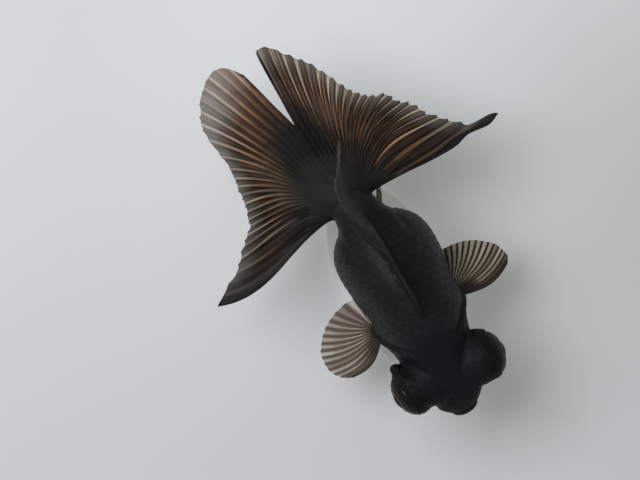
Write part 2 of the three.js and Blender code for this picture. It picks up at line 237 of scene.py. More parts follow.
def faced_outwards(piece, merged_within=None):
    """Merges vertices nearer than merged_within, in millimetres, if it is given, and turns faces outwards."""
    picked(piece)
    bpy.ops.object.mode_set(mode="EDIT")
    bpy.ops.mesh.select_all(action="SELECT")
    if merged_within is not None:
        bpy.ops.mesh.remove_doubles(threshold=merged_within * MM)
    bpy.ops.mesh.normals_make_consistent(inside=False)
    bpy.ops.object.mode_set(mode="OBJECT")
    return piece


def keep_number(piece, name, values):
    """Stores one number for each vertex, for a material to read."""
    attribute = piece.data.attributes.new(name, "FLOAT", "POINT")
    attribute.data.foreach_set("value", np.asarray(values, np.float32).ravel())


print("helpers ready")

# %% [markdown]
# Barrels, globes and posts are turned forms. As on a lathe, a disc is extruded and scaled step by step up a
# profile of (radius, height). The spin operator would do as well, but the extruded disc stays closed.

# %% Turned forms
def turned(name, profile, around=48):
    """A form of revolution round Z, from a profile of (radius, height) in millimetres."""
    fresh()
    start, base = profile[0]
    bpy.ops.mesh.primitive_circle_add(
        vertices=around, radius=start * MM, fill_type="NGON", location=(0, 0, base * MM)
    )
    piece = named(name)
    bpy.ops.object.transform_apply(location=True)
    bpy.ops.object.mode_set(mode="EDIT")
    bpy.ops.mesh.select_all(action="SELECT")
    for (r0, z0), (r1, z1) in zip(profile, profile[1:]):
        bpy.ops.mesh.extrude_region_move(TRANSFORM_OT_translate={"value": (0, 0, (z1 - z0) * MM)})
        bpy.ops.transform.resize(value=(r1 / r0, r1 / r0, 1), center_override=(0, 0, z1 * MM))
    bpy.ops.object.mode_set(mode="OBJECT")
    return faced_outwards(piece)


def egg(name, centre, radii):
    """A rounded lump at a place about the fish's axis."""
    fresh()
    bpy.ops.mesh.primitive_uv_sphere_add(segments=24, ring_count=12, radius=1)
    piece = named(name)
    set_vertices(piece, placed(vertices(piece) * radii + centre))
    return piece


print("turned forms ready")

# %% [markdown]
# The skin is one piece from the lips to the tail, because a living fish shows no seams. It could be sculpted
# from one ball, but the parts differ too much. So rough forms are pushed into each other like clay: the body,
# the two barrels that carry the eyes, and small lumps of loose flesh. A voxel remesh then melts them
# together. The body starts as a sphere whose vertices are laid on the formula, a little inside the solids.

# %% The body under the skin
SKIN_DEPTH = 0.35
fresh()
bpy.ops.mesh.primitive_uv_sphere_add(segments=128, ring_count=128, radius=1)
body = named("skin_body")
ball = vertices(body)
ball_s = np.arccos(np.clip(ball[:, 2], -1, 1)) / np.pi
ball_turn = np.arctan2(ball[:, 1], ball[:, 0])
set_vertices(body, placed(body_point(ball_s, ball_turn, -SKIN_DEPTH)))
print("body:", len(body.data.polygons), "faces")

# %% [markdown]
# A telescope goldfish carries each eye at the end of a fleshy barrel. The barrel is turned on a lathe of
# extrusions with a fold near its end, a thin lip round the eye and a seat for the globe, then aimed sideways,
# a little forwards and a little up. `aimed` swings the lathe's axis on that way and shifts it to the head.

# %% Eye barrels
SIDES = {"left": 1, "right": -1}
EYE = {"x": -0.6, "z": 1.2, "forward": 7, "upward": 5, "globe": 7.4, "apex": 21, "dome": 3.5}
EYE_AXIS = {"left": -32.7, "right": -31.4}
BARREL = [
    (8.2, 4), (9.0, 7.5), (9.3, 10), (9.1, 12), (9.15, 13.6), (9.0, 14.9), (8.6, 16), (8.1, 16.8),
    (7.6, 17.2), (7.15, 17.2), (7.0, 16.8), (6.9, 15.0),
]


def eye_way(side):
    """The direction in which an eye looks."""
    forward, upward = math.radians(EYE["forward"]), math.radians(EYE["upward"])
    level = math.cos(upward)
    return Vector((SIDES[side] * level * math.cos(forward), -level * math.sin(forward), math.sin(upward)))


def aimed(piece, side):
    """The turned piece with its axis along the eye's, from the middle of the head outwards."""
    centre = Vector((EYE["x"], EYE_AXIS[side], EYE["z"] + AXIS_HEIGHT)) * MM
    swing = Vector((0, 0, 1)).rotation_difference(eye_way(side)).to_matrix().to_4x4()
    piece.data.transform(Matrix.Translation(centre) @ swing)
    return piece


barrels = [aimed(turned("barrel_" + side, BARREL, around=72), side) for side in SIDES]
print("eye barrels face", [tuple(round(c, 2) for c in eye_way(side)) for side in SIDES])

# %% [markdown]
# Loose flesh gathers in lumps before and behind each barrel's rim, at the roots of the breast fins, and in
# two small flaps at the nostrils. Each is an egg of its own size: (centre, radii) about the fish's axis. The
# flaps and fin roots come in mirrored pairs, while the lumps differ from side to side, as flesh does.

# %% Lumps and flaps
LUMPS = [
    ((-15.8, -23.9, 2.4), (2.2, 2.1, 3.2)), ((-13.8, -25.6, -1.5), (2.2, 2.4, 3.6)),
    ((-15.8, -38.9, 1.6), (2.4, 1.7, 3.4)), ((13.0, -41.2, 2.0), (2.6, 1.6, 3.6)),
    ((13.4, -27.2, 2.2), (2.4, 2.6, 3.8)), ((11.6, -40.4, 5.4), (2.2, 1.8, 2.2)),
]
PAIRED_LUMPS = [
    ((5.2, -42.1, 6.0), (1.2, 0.55, 1.1)), ((5.0, -40.8, 7.0), (1.0, 0.5, 0.9)),
    ((14.3, -10.8, -12.9), (3.1, 4.4, 1.2)), ((5.2, -4.9, -19.9), (1.8, 2.8, 1.8)),
    ((3.8, 21.4, -8.6), (1.3, 2.6, 2.2)),
]
lumps = [egg("lump", centre, radii) for centre, radii in LUMPS]
for (x, y, z), radii in PAIRED_LUMPS:
    lumps += [egg("lump", (side * x, y, z), radii) for side in SIDES.values()]
print("lumps:", len(lumps))

# %% [markdown]
# The fins' surfaces are needed twice: the skin runs a little way out on the tail and the back fin, and the
# fins themselves follow. The tail is a fan of curved rays in two halves. Each ray is a cubic Bezier curve
# from the stem to the edge, and `u` chooses the ray while `v` runs out along it. Up to the notch, the halves
# share one middle line. The left half's lowest ray ends in a small finger with a waist.

# %% The tail's surface
TAIL = {"centre": (-2.1, 31.5, 5.5), "turn": 7, "lift": 13.5, "pull": 0.34, "pleat": 1.5, "pleats": 4}
NOTCH = 0.5
notch_opening = through([(0, 0), (NOTCH, 0), (0.6, 0.45), (0.75, 0.85), (1, 1)])
TAIL_HALVES = {
    "left": {
        "inner": 3.3, "outer": 93.2, "droop": -8.5, "leaves": 97, "arrives": 80, "finger": 1,
        "length": through([
            (3.3, 58.6), (4.4, 60.6), (6.5, 60.4), (12, 55.5), (20, 49.6), (26, 44.5), (34, 39.7), (42, 38.2),
            (47, 38.3), (52, 40), (60, 39.6), (66, 41), (73, 41), (79, 42.8), (85, 45.6), (89.6, 48.6),
            (90.8, 51), (91.6, 57), (93.2, 59.3),
        ]),
    },
    "right": {
        "inner": 4.2, "outer": 90.6, "droop": -9.5, "leaves": 88, "arrives": 62, "finger": 0,
        "length": through([
            (4.2, 56.5), (5.2, 59.4), (6.5, 61.7), (8, 63.4), (10.5, 64.6), (14, 64.2), (19, 62.4),
            (25, 58.4), (29, 53.9), (32, 48.6), (37.4, 43), (46, 39), (55, 36.2),
            (64, 35.8), (72, 38.8), (78, 42), (84, 46.5), (87, 52), (90.6, 57),
        ]),
    },
}


def away(degrees, far, z):
    """A point this far from the stem, this many degrees away from the tail's middle line."""
    return stacked(far * np.sin(np.radians(degrees)), far * np.cos(np.radians(degrees)), z)


def bezier(points, v):
    """The cubic Bezier curve through four control points, at v from 0 to 1."""
    a, b, c, d = points
    v = v[..., None]
    return (1 - v) ** 3 * a + 3 * (1 - v) ** 2 * v * b + 3 * (1 - v) * v**2 * c + v**3 * d


def half_tail(side, u, v):
    """A point of one half in the tail's own frame: x out from the middle line, y back, z up."""
    half = TAIL_HALVES[side]
    fanned = np.sin(u * np.pi / 2)
    angle = lerp(half["inner"], half["outer"], u)
    length = half["length"](angle)
    root = stacked(0.35 + 5.2 * fanned, lerp(2.5, 1.2, u), lerp(4.6, -3.4, u))
    tip = away(angle, length, lerp(TAIL["lift"], half["droop"], u**0.75))
    leave = away(half["leaves"] * u**0.8, TAIL["pull"] * length, lerp(4, 2.5, u))
    arrive = away(lerp(8, half["arrives"], fanned), TAIL["pull"] * length, -2.5)
    point = bezier((root, root + leave, tip - arrive, tip), v)
    wave = np.sin(2 * np.pi * (TAIL["pleats"] * u + 0.1))
    point[..., 2] += TAIL["pleat"] * v**1.6 * np.minimum(1, 6 * u) * wave
    waist = 1.1 * bump(v, 0.77, 0.07) - 0.9 * bump(v, 0.93, 0.06)
    point[..., 1] += half["finger"] * smooth_step(0.94, 1, u) * waist
    return point


def tail_point(side, u, v):
    """The same point joined to the middle line before the notch, turned and set at the stem."""
    u, v = np.broadcast_arrays(np.asarray(u, float), np.asarray(v, float))
    middle = (half_tail("left", 0 * u, v) + half_tail("right", 0 * u, v)) / 2 * (0, 1, 1)
    drawn_in = ((1 - smooth_step(0, 0.3, u)) * (1 - notch_opening(v)))[..., None]
    point = half_tail(side, u, v) - drawn_in * (half_tail(side, 0 * u, v) - middle)
    point = point * (SIDES[side], 1, 1)
    c, s = math.cos(math.radians(TAIL["turn"])), math.sin(math.radians(TAIL["turn"]))
    turned_point = stacked(
        c * point[..., 0] - s * point[..., 1], s * point[..., 0] + c * point[..., 1], point[..., 2]
    )
    return turned_point + TAIL["centre"]


print("tail tips, mm:", [tail_point(side, 1.0, 1.0).round(1).tolist() for side in SIDES])

# %% [markdown]
# The back fin stands on the ridge of the back, swept low, and its free end swings to one side. The paired
# fins are flat fans: a short root line, rays that turn from a leading angle to a trailing one, and a slight
# cup. One function serves all six, with the numbers of each in a table, and the right fins are mirrored.

# %% The other fins' surfaces
DORSAL = {"front": -11, "rear": 19, "sunk": 3}
dorsal_lean = through([(-12, 0.6), (8, 0.3), (20, -1.1), (30, -2.6), (37, -1.6), (45, 2), (54, 6)])
dorsal_rise = through([(0, 46), (0.25, 34), (0.5, 23.5), (0.75, 13), (1, 6)])
dorsal_length = through([(0, 27), (0.12, 33.5), (0.3, 38.5), (0.5, 41.5), (0.75, 41.5), (0.9, 36), (1, 27)])


def dorsal_point(u, v):
    """A point of the back fin: u from its leading ray to its last one, v from the back out to the edge."""
    root_y = lerp(DORSAL["front"], DORSAL["rear"], u)
    rise = np.radians(dorsal_rise(u))
    out = lerp(-DORSAL["sunk"], dorsal_length(u), v)
    bulge = 1.6 * np.sin(np.pi * v) * (1 - u)
    y = root_y + out * np.cos(rise) - bulge * np.sin(rise)
    z = back(lengthwise(root_y)) + out * np.sin(rise) + bulge * np.cos(rise)
    ripple = 0.5 * v * np.sin(2 * np.pi * (2.5 * u + 0.6 * v))
    lying = 3.2 * smooth_step(0.25, 1, v) - 1.6 * np.sin(np.pi * v)
    lying = lying * smooth_step(11, 20, y) * smooth_step(60, 38, y)
    return stacked(dorsal_lean(y) + ripple - lying, y, z)


def towards(heading, raised):
    """A way in space, in degrees: heading from +X towards +Y, then raised."""
    level = math.cos(math.radians(raised))
    h = math.radians(heading)
    return np.array([level * math.cos(h), level * math.sin(h), math.sin(math.radians(raised))])


def fan_point(fin, side, u, v):
    """A point of a paired fin: u from the leading ray to the last one, v from the root to the edge."""
    angle = np.radians(fin["angle"](u))[..., None]
    way = fin["out"] * np.cos(angle) + fin["backward"] * np.sin(angle)
    behind = fin["backward"] * np.cos(angle) - fin["out"] * np.sin(angle)
    face = np.cross(fin["out"], fin["backward"])
    face = face / np.linalg.norm(face)
    u, v = u[..., None], v[..., None]
    out = lerp(-fin["buried"], fin["length"](u), v)
    bow = -fin["bow"] * (1 - u) * np.sin(np.pi * v**1.3)
    point = fin["root"] + fin["base"] * (u - 0.5) + way * out + behind * bow + face * fin["cup"] * v * v
    return point * (SIDES[side], 1, 1)


def pectoral(angle, length):
    """A breast fin. Each side has its own stations for the rays' angles and lengths."""
    return {
        "root": np.array([15.6, -10.2, -13]), "base": np.array([0, 5.2, -1.6]),
        "out": towards(0, -9), "backward": towards(90, -12),
        "angle": through(angle), "length": through(length), "buried": 3, "bow": 3, "cup": -1.2,
    }


def anal(outwards):
    """An anal fin, turned this many degrees away from straight back."""
    return {
        "root": np.array([3.9, 21.4, -9.6]), "base": np.array([0.4, 4.2, 3.2]),
        "out": towards(90 - outwards, -44), "backward": towards(92 - outwards, 38),
        "angle": through([(0, 0), (0.5, 20), (1, 40)]),
        "length": through([(0, 17), (0.25, 18.5), (0.6, 15), (1, 11)]),
        "buried": 3, "bow": 1.2, "cup": 0.8,
    }


PELVIC = {
    "root": np.array([5.4, -4.6, -20.3]), "base": np.array([0.8, 4, 0.3]),
    "out": towards(52, -34), "backward": towards(118, 2),
    "angle": through([(0, 2), (0.5, 26), (1, 52)]),
    "length": through([(0, 17.5), (0.2, 19), (0.6, 15.5), (1, 10.5)]),
    "buried": 3, "bow": 1, "cup": 1.6,
}
PAIRED_FINS = {
    "pectoral_fin_left": pectoral(
        [(0, 3), (0.12, 8.8), (0.3, 17.5), (0.5, 29.6), (0.7, 45.4), (0.85, 60), (1, 81)],
        [(0, 20.8), (0.12, 22.7), (0.3, 22.3), (0.5, 19.9), (0.7, 16.7), (0.85, 14), (1, 11.5)],
    ),
    "pectoral_fin_right": pectoral(
        [(0, -27), (0.15, -18), (0.3, -6), (0.45, 5.5), (0.6, 18), (0.75, 34), (0.88, 53), (1, 88)],
        [
            (0, 16.4), (0.15, 19.6), (0.3, 21.4), (0.45, 21.1), (0.6, 19.2), (0.75, 16.6), (0.88, 13.9),
            (1, 11),
        ],
    ),
    "pelvic_fin_left": PELVIC,
    "pelvic_fin_right": PELVIC,
    "anal_fin_left": anal(24),
    "anal_fin_right": anal(12),
}
print("paired fins:", ", ".join(PAIRED_FINS))

# %% [markdown]
# A fin is a sheet: a grid whose vertices are laid on its surface, then given thickness by Solidify. The
# grid's own UV map keeps `u` and `v`, so that a pattern can follow the rays later. A vertex group says how
# thick each place is, from a thick ray to the thin membrane between two. Here it also makes the fleshy webs
# that the skin sends out on the tail and the back fin.

# %% Sheets
def sheet(name, surface, across, along, thickness):
    """A grid on surface(u, v) and its greatest thickness, where thickness is a function of (u, v) in mm."""
    fresh()
    bpy.ops.mesh.primitive_grid_add(x_subdivisions=across, y_subdivisions=along, size=1, calc_uvs=True)
    piece = named(name)
    piece.data.uv_layers[0].name = "rays"
    u, v = vertices(piece)[:, :2].T + 0.5
    set_vertices(piece, placed(surface(u, v)))
    return piece, thicknesses(piece, thickness(u, v))


def thicknesses(piece, values):
    """Keeps each vertex's share of the greatest thickness in a group, and gives that thickness."""
    thickest = float(np.max(values))
    group = piece.vertex_groups.new(name="thickness")
    for index, value in enumerate(values / thickest):
        group.add([index], float(value), "REPLACE")
    return thickest


def solidified(piece, thickest):
    modify(
        piece, "SOLIDIFY", thickness=thickest * MM, offset=0, vertex_group="thickness",
        thickness_vertex_group=0, use_even_offset=False,
    )
    return faced_outwards(piece)


WEBS = {
    "tail": {"reach": 0.3, "root": 4.6, "end": 0.6, "fall": 0.45, "along": 24},
    "dorsal": {"reach": 0.13, "root": 2.8, "end": 1.15, "fall": 1, "along": 10},
}


def web(name, surface, form):
    """The fleshy root of a fin: its surface out to the web's reach, thinning from root to end."""
    made = sheet(
        name, lambda u, v: surface(u, v * form["reach"]), 60, form["along"],
        lambda u, v: lerp(form["root"], form["end"], v ** form["fall"]),
    )
    return solidified(*made)


webs = [web("web_" + side, lambda u, v: tail_point(side, u, v), WEBS["tail"]) for side in SIDES]
webs.append(web("web_dorsal", dorsal_point, WEBS["dorsal"]))
print("webs:", len(webs))

# %% [markdown]
# Now the clay is pressed together. The voxel remesh turns the pile into one closed surface of even squares.
# A Smooth modifier then softens all of it a little, and a second one, held to a vertex group, softens the
# hollows where each barrel leaves the head and round the breast fins' pads, since flesh never meets flesh in
# a sharp corner.

# %% One skin
VOXEL = 0.42
skin = joined([body, *barrels, *lumps, *webs], "fish_skin")
modify(skin, "REMESH", mode="VOXEL", voxel_size=VOXEL * MM, use_smooth_shade=True)
modify(skin, "SMOOTH", factor=0.5, iterations=4)

points = vertices(skin) / MM - (0, 0, AXIS_HEIGHT)


def eye_frame(points, side):
    """How far out along the eye's axis each point is, and how far from that axis."""
    centre = np.array([EYE["x"], EYE_AXIS[side], EYE["z"]])
    way = np.array(eye_way(side))
    out = (points - centre) @ way
    beside = np.linalg.norm(points - centre - out[:, None] * way, axis=1)
    return out, beside


FIN_PAD = {"left": (15.4, -10.8, -12.4), "right": (-15.4, -10.8, -12.4)}
hollow = np.zeros(len(points))
for side in SIDES:
    out, beside = eye_frame(points, side)
    hollow = np.maximum(hollow, bump(out, 8.5, 3.2) * smooth_step(13, 10.5, beside) * (out < 13))
    from_pad = np.linalg.norm((points - FIN_PAD[side]) / (1, 1.3, 1), axis=1)
    hollow = np.maximum(hollow, 0.6 * bump(from_pad, 0, 3.6))
group = skin.vertex_groups.new(name="hollow")
for index in np.nonzero(hollow > 0.02)[0]:
    group.add([int(index)], float(hollow[index]), "REPLACE")
modify(skin, "SMOOTH", factor=0.7, iterations=30, vertex_group="hollow")
skin.vertex_groups.clear()
print("skin:", len(skin.data.polygons), "faces")

# %% [markdown]
# Creases are carved last, when the mesh is fine enough to hold them. Sculpting by hand would do as well, but
# formulas can be changed later. Each says how far a vertex moves along its normal. The face has the mouth's
# arched slit between two soft lips, with a groove above and below, and the pits of the nostrils.

# %% Carve the face
points = vertices(skin) / MM - (0, 0, AXIS_HEIGHT)
normals = vertex_normals(skin)
x, y, z = points.T
side_x = np.abs(x - sway(lengthwise(y)))

MOUTH = {"slope": -0.48, "level": -2.5, "back": -44.8, "droop": 0.05}
under_lip = (z - MOUTH["level"] - MOUTH["slope"] * (y - LIPS)) / math.hypot(1, MOUTH["slope"])
under_lip = under_lip + MOUTH["droop"] * side_x**2
in_mouth = smooth_step(MOUTH["back"], MOUTH["back"] - 1.2, y) * smooth_step(5.2, 4.0, side_x)
lips = 0.62 * bump(np.abs(under_lip), 1.25, 0.7) - 1.25 * bump(under_lip, 0, 0.5)
grooves = -0.42 * bump(under_lip, 2.9, 0.55) - 0.25 * bump(under_lip, -3.1, 0.6)
corner = -0.35 * bump(np.hypot(side_x - 4.7, under_lip - 0.3), 0, 0.8) * smooth_step(-43, -44.5, y)
carved = in_mouth * lips + corner + grooves * smooth_step(-43.2, -45.2, y) * smooth_step(5.6, 4.4, side_x)

NOSTRILS = [(5.1, -43.0, 5.6), (-5.1, -43.0, 5.6)]
for nostril in NOSTRILS:
    pit = np.linalg.norm(points - nostril, axis=1)
    carved += 0.3 * bump(pit, 1.7, 0.55) - 1.1 * bump(pit, 0, 0.75)
print("deepest and highest carving of the face, mm:", carved.min().round(2), carved.max().round(2))

# %% [markdown]
# A goldfish breathes through a slit behind a bony cover, whose edge stands up a little. Both follow one arc
# on the flank, with a fainter arc in front. Folds run round the barrels near the eyes, and a shallow crease
# parts the flank from the tail stem. All of it is added to the carving before the vertices move once.

# %% Carve gill covers, barrels and flanks
SLIT = {"y": -27, "z": -4, "back": 14.8, "half": 17.5}
COVER_BONE = {"y": -29.5, "z": -5, "back": 10.5, "half": 12}


def past(arc, y, z):
    """About how many millimetres a place is behind an upright arc on the flank."""
    return (np.hypot((y - arc["y"]) / arc["back"], (z - arc["z"]) / arc["half"]) - 1) * arc["back"]


past_slit = past(SLIT, y, z)
beside_slit = smooth_step(3, 5.5, side_x) * smooth_step(-24.5, -20, y)
cover_edge = 0.55 * bump(past_slit, -1.1, 1.2) + 0.3 * smooth_step(-7, -1, past_slit) * (past_slit < 0)
slit = -0.75 * bump(past_slit, 0.45, 0.42) + 0.12 * bump(past_slit, 2.0, 0.8)
carved += beside_slit * (np.where(past_slit < 0.2, cover_edge, 0) + slit)

bone = bump(past(COVER_BONE, y, z), 0, 0.6)
carved -= 0.28 * bone * smooth_step(-27, -22, y) * smooth_step(4, 7, side_x)

FRONT_DENT = {"left": 0.1, "right": 1.0}
for side in SIDES:
    out, beside = eye_frame(points, side)
    round_eye = np.arctan2(points[:, 2] - EYE["z"], points[:, 1] - EYE_AXIS[side])
    on_barrel = smooth_step(7.8, 8.4, beside) * smooth_step(12, 10.5, beside) * (SIDES[side] * x > 4)
    folds = 0.05 * np.cos(2 * np.pi * (out - 15.2) / 2.4 + 1.3 * np.sin(2 * round_eye)) * bump(out, 13.5, 2.6)
    swell = 0.25 * np.sin(3 * round_eye + 1.1 * SIDES[side]) * bump(out, 15, 2.2)
    swell += 0.12 * np.sin(7 * round_eye + out + 2 * SIDES[side]) * bump(out, 13, 4)
    in_front = FRONT_DENT[side] * smooth_step(0.4, 1, -np.cos(round_eye)) * bump(out, 13.5, 4)
    carved += on_barrel * (folds + swell - in_front)

at_stem = smooth_step(13, 17, y) * smooth_step(28, 23, y) * smooth_step(-2, 4, z)
carved -= 0.45 * bump(side_x, 10.5, 1.0) * at_stem
set_vertices(skin, placed(points + normals * carved[:, None]))
smooth_shaded(skin)
print("deepest and highest carving, mm:", carved.min().round(2), carved.max().round(2))

# %% [markdown]
# Scales are thin plates that overlap like roof tiles. One is modelled: a small grid is rounded into a disc
# and extruded into a closed plate. Its numbers are kept, and each copy is laid on the skin: every vertex is
# dropped on the nearest place of the skin and lifted a little. The root sinks in, and the rear edge stands
# proud.

# %% One scale
fresh()
bpy.ops.mesh.primitive_grid_add(x_subdivisions=6, y_subdivisions=5, size=2)
tile = named("scale_tile")
flat = vertices(tile)
a, b = flat[:, 0].copy(), flat[:, 1].copy()
flat[:, 0], flat[:, 1] = a * np.sqrt(1 - b * b / 2), b * np.sqrt(1 - a * a / 2)
set_vertices(tile, flat)
bpy.ops.object.mode_set(mode="EDIT")
bpy.ops.mesh.select_all(action="SELECT")
bpy.ops.mesh.extrude_region_move(TRANSFORM_OT_translate={"value": (0, 0, 1)})
bpy.ops.object.mode_set(mode="OBJECT")
faced_outwards(tile)
tile_points = vertices(tile)
tile_faces = [list(face.vertices) for face in tile.data.polygons]
picked(tile)
bpy.ops.object.delete()
print("one scale:", len(tile_faces), "faces")

# %% [markdown]
# Goldfish have some 26 scales along the side and 14 rows from back to belly. Here the rows keep equal shares
# of the girth and the columns are staggered by half a row. The scales start behind the gill slit and get
# smaller towards the tail. Fixed rows were chosen over a scatter, since a fish's scales never change places.

# %% Where the scales sit
ROWS = 14
SCALE = {"first": -24, "last": 36.5, "step": 0.6, "length": 2.3, "width": 1.36, "behind_slit": 1.332}


def girth_turns(s):
    """The size of each of the ROWS equal shares of half the girth, and a function from share to turn."""
    turn = np.linspace(np.pi / 2, -np.pi / 2, 181)
    ring = body_point(s, turn)
    walked = np.concatenate([[0], np.cumsum(np.linalg.norm(np.diff(ring, axis=0), axis=1))])
    return walked[-1] / ROWS, lambda share: np.interp(share * walked[-1], walked, turn)


def scale_places():
    """Every scale's (s, turn, row, share of the girth, height of its row), from head to tail."""
    places = []
    y, column = SCALE["first"], 0
    while y < SCALE["last"]:
        s = lengthwise(y)
        height, turn_at = girth_turns(s)
        for row in range(ROWS + column % 2):
            share = (row + 0.5 * (1 - column % 2)) / ROWS
            for side in SIDES.values():
                if share in (0, 1) and side < 0:
                    continue
                turn = float(turn_at(share))
                turn = turn if side > 0 else np.pi - turn
                places.append((float(s), turn, row, 0.5 + side * share / 2, height))
        y += SCALE["step"] * height
        column += 1
    return places


def behind_slit(s, turn):
    """Whether a scale is clear of the gill slit, and of the bare nape between the two slits."""
    x, y, z = body_point(s, turn)
    return past(SLIT, y, z) > SCALE["behind_slit"] and y > -19 - 0.12 * abs(x)


places = [place for place in scale_places() if behind_slit(place[0], place[1])]
print("scales to lay:", len(places))

# %% [markdown]
# Each scale is laid flat at its place, curved by dropping every vertex on the skin, and lifted: a little
# under the skin at its root, proud at its rear edge, slightly domed between. One row carries the lateral
# line, a fine ridge of sense organs. Close behind the gill slit, where FADING says how many millimetres
# behind, the scales fade into the skin.

# %% Lay the scales
PLATE = {"sunk": 0.1, "proud": 0.13, "dome": 0.07, "thick": 0.16, "thicker_at_root": 0.2, "faded": 1.4}
FADING = (2.2, 0.7)
LATERAL_LINE = {"row": 6, "ridge": 0.14, "half": 0.16}
TINY = 1e-3


def way_along(after, before):
    """The unit vector from one point to another."""
    way = after - before
    return way / np.linalg.norm(way)


def scale_plate(place, skin_tree):
    """The vertices of one scale in metres, and how near each is to the rear rim."""
    s, turn, row, _, height = place
    along = way_along(body_point(s + TINY, turn), body_point(s - TINY, turn))
    round_body = way_along(body_point(s, turn + TINY), body_point(s, turn - TINY))
    a, b, top = tile_points.T
    t = (a + 1) / 2
    length, width = SCALE["length"] * SCALE["step"] * height, SCALE["width"] * height
    lift = lerp(-PLATE["sunk"], PLATE["proud"], t**0.8) + PLATE["dome"] * (1 - b * b) * t
    if row == LATERAL_LINE["row"]:
        lift += LATERAL_LINE["ridge"] * bump(b, 0, LATERAL_LINE["half"]) * t
    lift = np.where(top > 0.5, lift, lift - PLATE["thick"] - PLATE["thicker_at_root"] * (1 - t))
    flat = body_point(s, turn) + along * (a * length / 2)[:, None] + round_body * (b * width / 2)[:, None]
    lift -= PLATE["faded"] * smooth_step(*FADING, past(SLIT, flat[:, 1], flat[:, 2]))
    laid = []
    for point, height_above in zip(placed(flat), lift):
        nearest, normal, _, _ = skin_tree.find_nearest(Vector(point))
        laid.append(nearest + normal * float(height_above) * MM)
    return np.array(laid), t * t


skin_tree = BVHTree.FromObject(skin, bpy.context.evaluated_depsgraph_get())
plates = [scale_plate(place, skin_tree) for place in places]
count = len(tile_points)
mesh = bpy.data.meshes.new("fish_scales")
faces = [[index + count * i for index in face] for i in range(len(plates)) for face in tile_faces]
mesh.from_pydata(np.concatenate([plate for plate, _ in plates]).tolist(), [], faces)
scales = bpy.data.objects.new("fish_scales", mesh)
bpy.context.collection.objects.link(scales)
keep_number(scales, "rim", np.concatenate([rim for _, rim in plates]))
print("scales:", len(places), "with", len(mesh.polygons), "faces")

# %% [markdown]
# For a bake, a mesh of many small plates needs a map that wastes no space. So each scale has a tiny patch of
# the map OFBake at its root's place on an unwrap of the body: the place along the body by the share of the
# girth. The plate's underside gets a slightly smaller patch. Only sharp rims stay sharp in the shading.

# %% The scales' map and shading
PATCH = 0.003
bake_map = mesh.uv_layers.new(name="OFBake")
roots = np.array([(lerp(0.03, 0.97, s), lerp(0.03, 0.97, share)) for s, _, _, share, _ in places])
shrink = np.where(tile_points[:, 2:] > 0.5, 1.0, 0.8)
local = tile_points[:, :2] * shrink * PATCH / 2
patches = (roots[:, None, :] + local[None, :, :]).reshape(-1, 2)
corner = np.empty(len(mesh.loops), int)
mesh.loops.foreach_get("vertex_index", corner)
bake_map.data.foreach_set("uv", patches[corner].ravel())
faced_outwards(scales)
bpy.ops.object.shade_smooth_by_angle(angle=math.radians(50))
print("patches of the map:", len(roots))

# %% [markdown]
# A fin is bony rays joined by membrane. Every ray starts as one rod, forks half way out and forks again near
# the edge. `ray_ridge` is the same pattern that the finish uses: 1 on a ray and 0 between two. It thickens
# the sheet. The sheet is also pleated a little at every ray, and its edge is notched between the rays' tips.
# RAY_HALF is a ray's half width as a share of the space between two rays, and MEMBRANE is the membrane's
# thickness as a share of a ray's.

# %% Rays
FORKS = {"first": (0.28, 0.8), "second": (0.6, 1.05)}
RAY_HALF = 0.13
MEMBRANE = 0.42
GRID_ACROSS_RAY = 12


def ray_ridge(u, v, rays):
    """1 on a ray or one of its forks, falling to 0 between them."""
    across = np.abs((u * rays + 0.5) % 1 - 0.5)
    fork = 0.25 * smooth_step(*FORKS["first"], v)
    second = 0.125 * smooth_step(*FORKS["second"], v)
    across = np.abs(np.abs(across - fork) - second)
    return bump(across, 0, RAY_HALF)


def unit_normals(surface, u, v):
    u, v = np.clip(u, TINY, 1 - TINY), np.clip(v, TINY, 1 - TINY)
    over = surface(u + TINY, v) - surface(u - TINY, v)
    along = surface(u, v + TINY) - surface(u, v - TINY)
    normal = np.cross(over, along)
    return normal / np.linalg.norm(normal, axis=-1, keepdims=True)


def rayed(surface, rays, pleat, notch):
    """The surface with a pleat at every ray and an edge notched between the rays."""

    def finished(u, v):
        tips = 1 - np.abs(np.sin(np.pi * u * rays))
        fine = 1 - np.abs(np.sin(2 * np.pi * u * rays))
        uneven = 0.5 + 0.5 * np.sin(1.6 * u * rays + 0.6) * np.sin(1.9 * u * rays + 1.9)
        cut = 0.8 * (1 - tips) * lerp(0.35, 1, uneven) + 0.2 * (1 - fine) + 0.25 * uneven
        cut = cut * smooth_step(0, 0.3, u)
        reached = v * (1 - notch * cut * smooth_step(1, 0.97, u) * v**3)
        fold = pleat * smooth_step(0.1, 0.7, v) * np.cos(2 * np.pi * u * rays)
        return surface(u, reached) + unit_normals(surface, u, reached) * fold[..., None]

    return finished


def fin_thickness(rays, root, edge, leading):
    """Millimetres at (u, v): a ray tapering from root to edge, and a first ray that is stouter by leading."""

    def thickness(u, v):
        ray = lerp(root, edge, v**0.7)
        stout = 1 + leading * bump(u, 0, 0.03)
        return ray * stout * lerp(MEMBRANE, 1, ray_ridge(u, v, rays))

    return thickness


def fin(name, surface, rays, along, thick, pleat=0.16, notch=0.014, leading=0.6):
    """A fin's sheet before it is solidified, and its greatest thickness."""
    finished = rayed(surface, rays, pleat, notch)
    return sheet(name, finished, rays * GRID_ACROSS_RAY, along, fin_thickness(rays, *thick, leading))


print("a ray forks between", FORKS["first"], "and", FORKS["second"], "of its length")

# %% [markdown]
# The tail's halves are two grids whose inner edges lie on the same line up to the notch. Joining them,
# merging the doubled vertices there and only then adding thickness makes one piece, as on the fish. Rays
# stand closer in the upper lobes than in the lower ones, which TAIL_CROWDING sets, and leave the root steeply
# before they bend outwards, which DRAWN_UP sets.

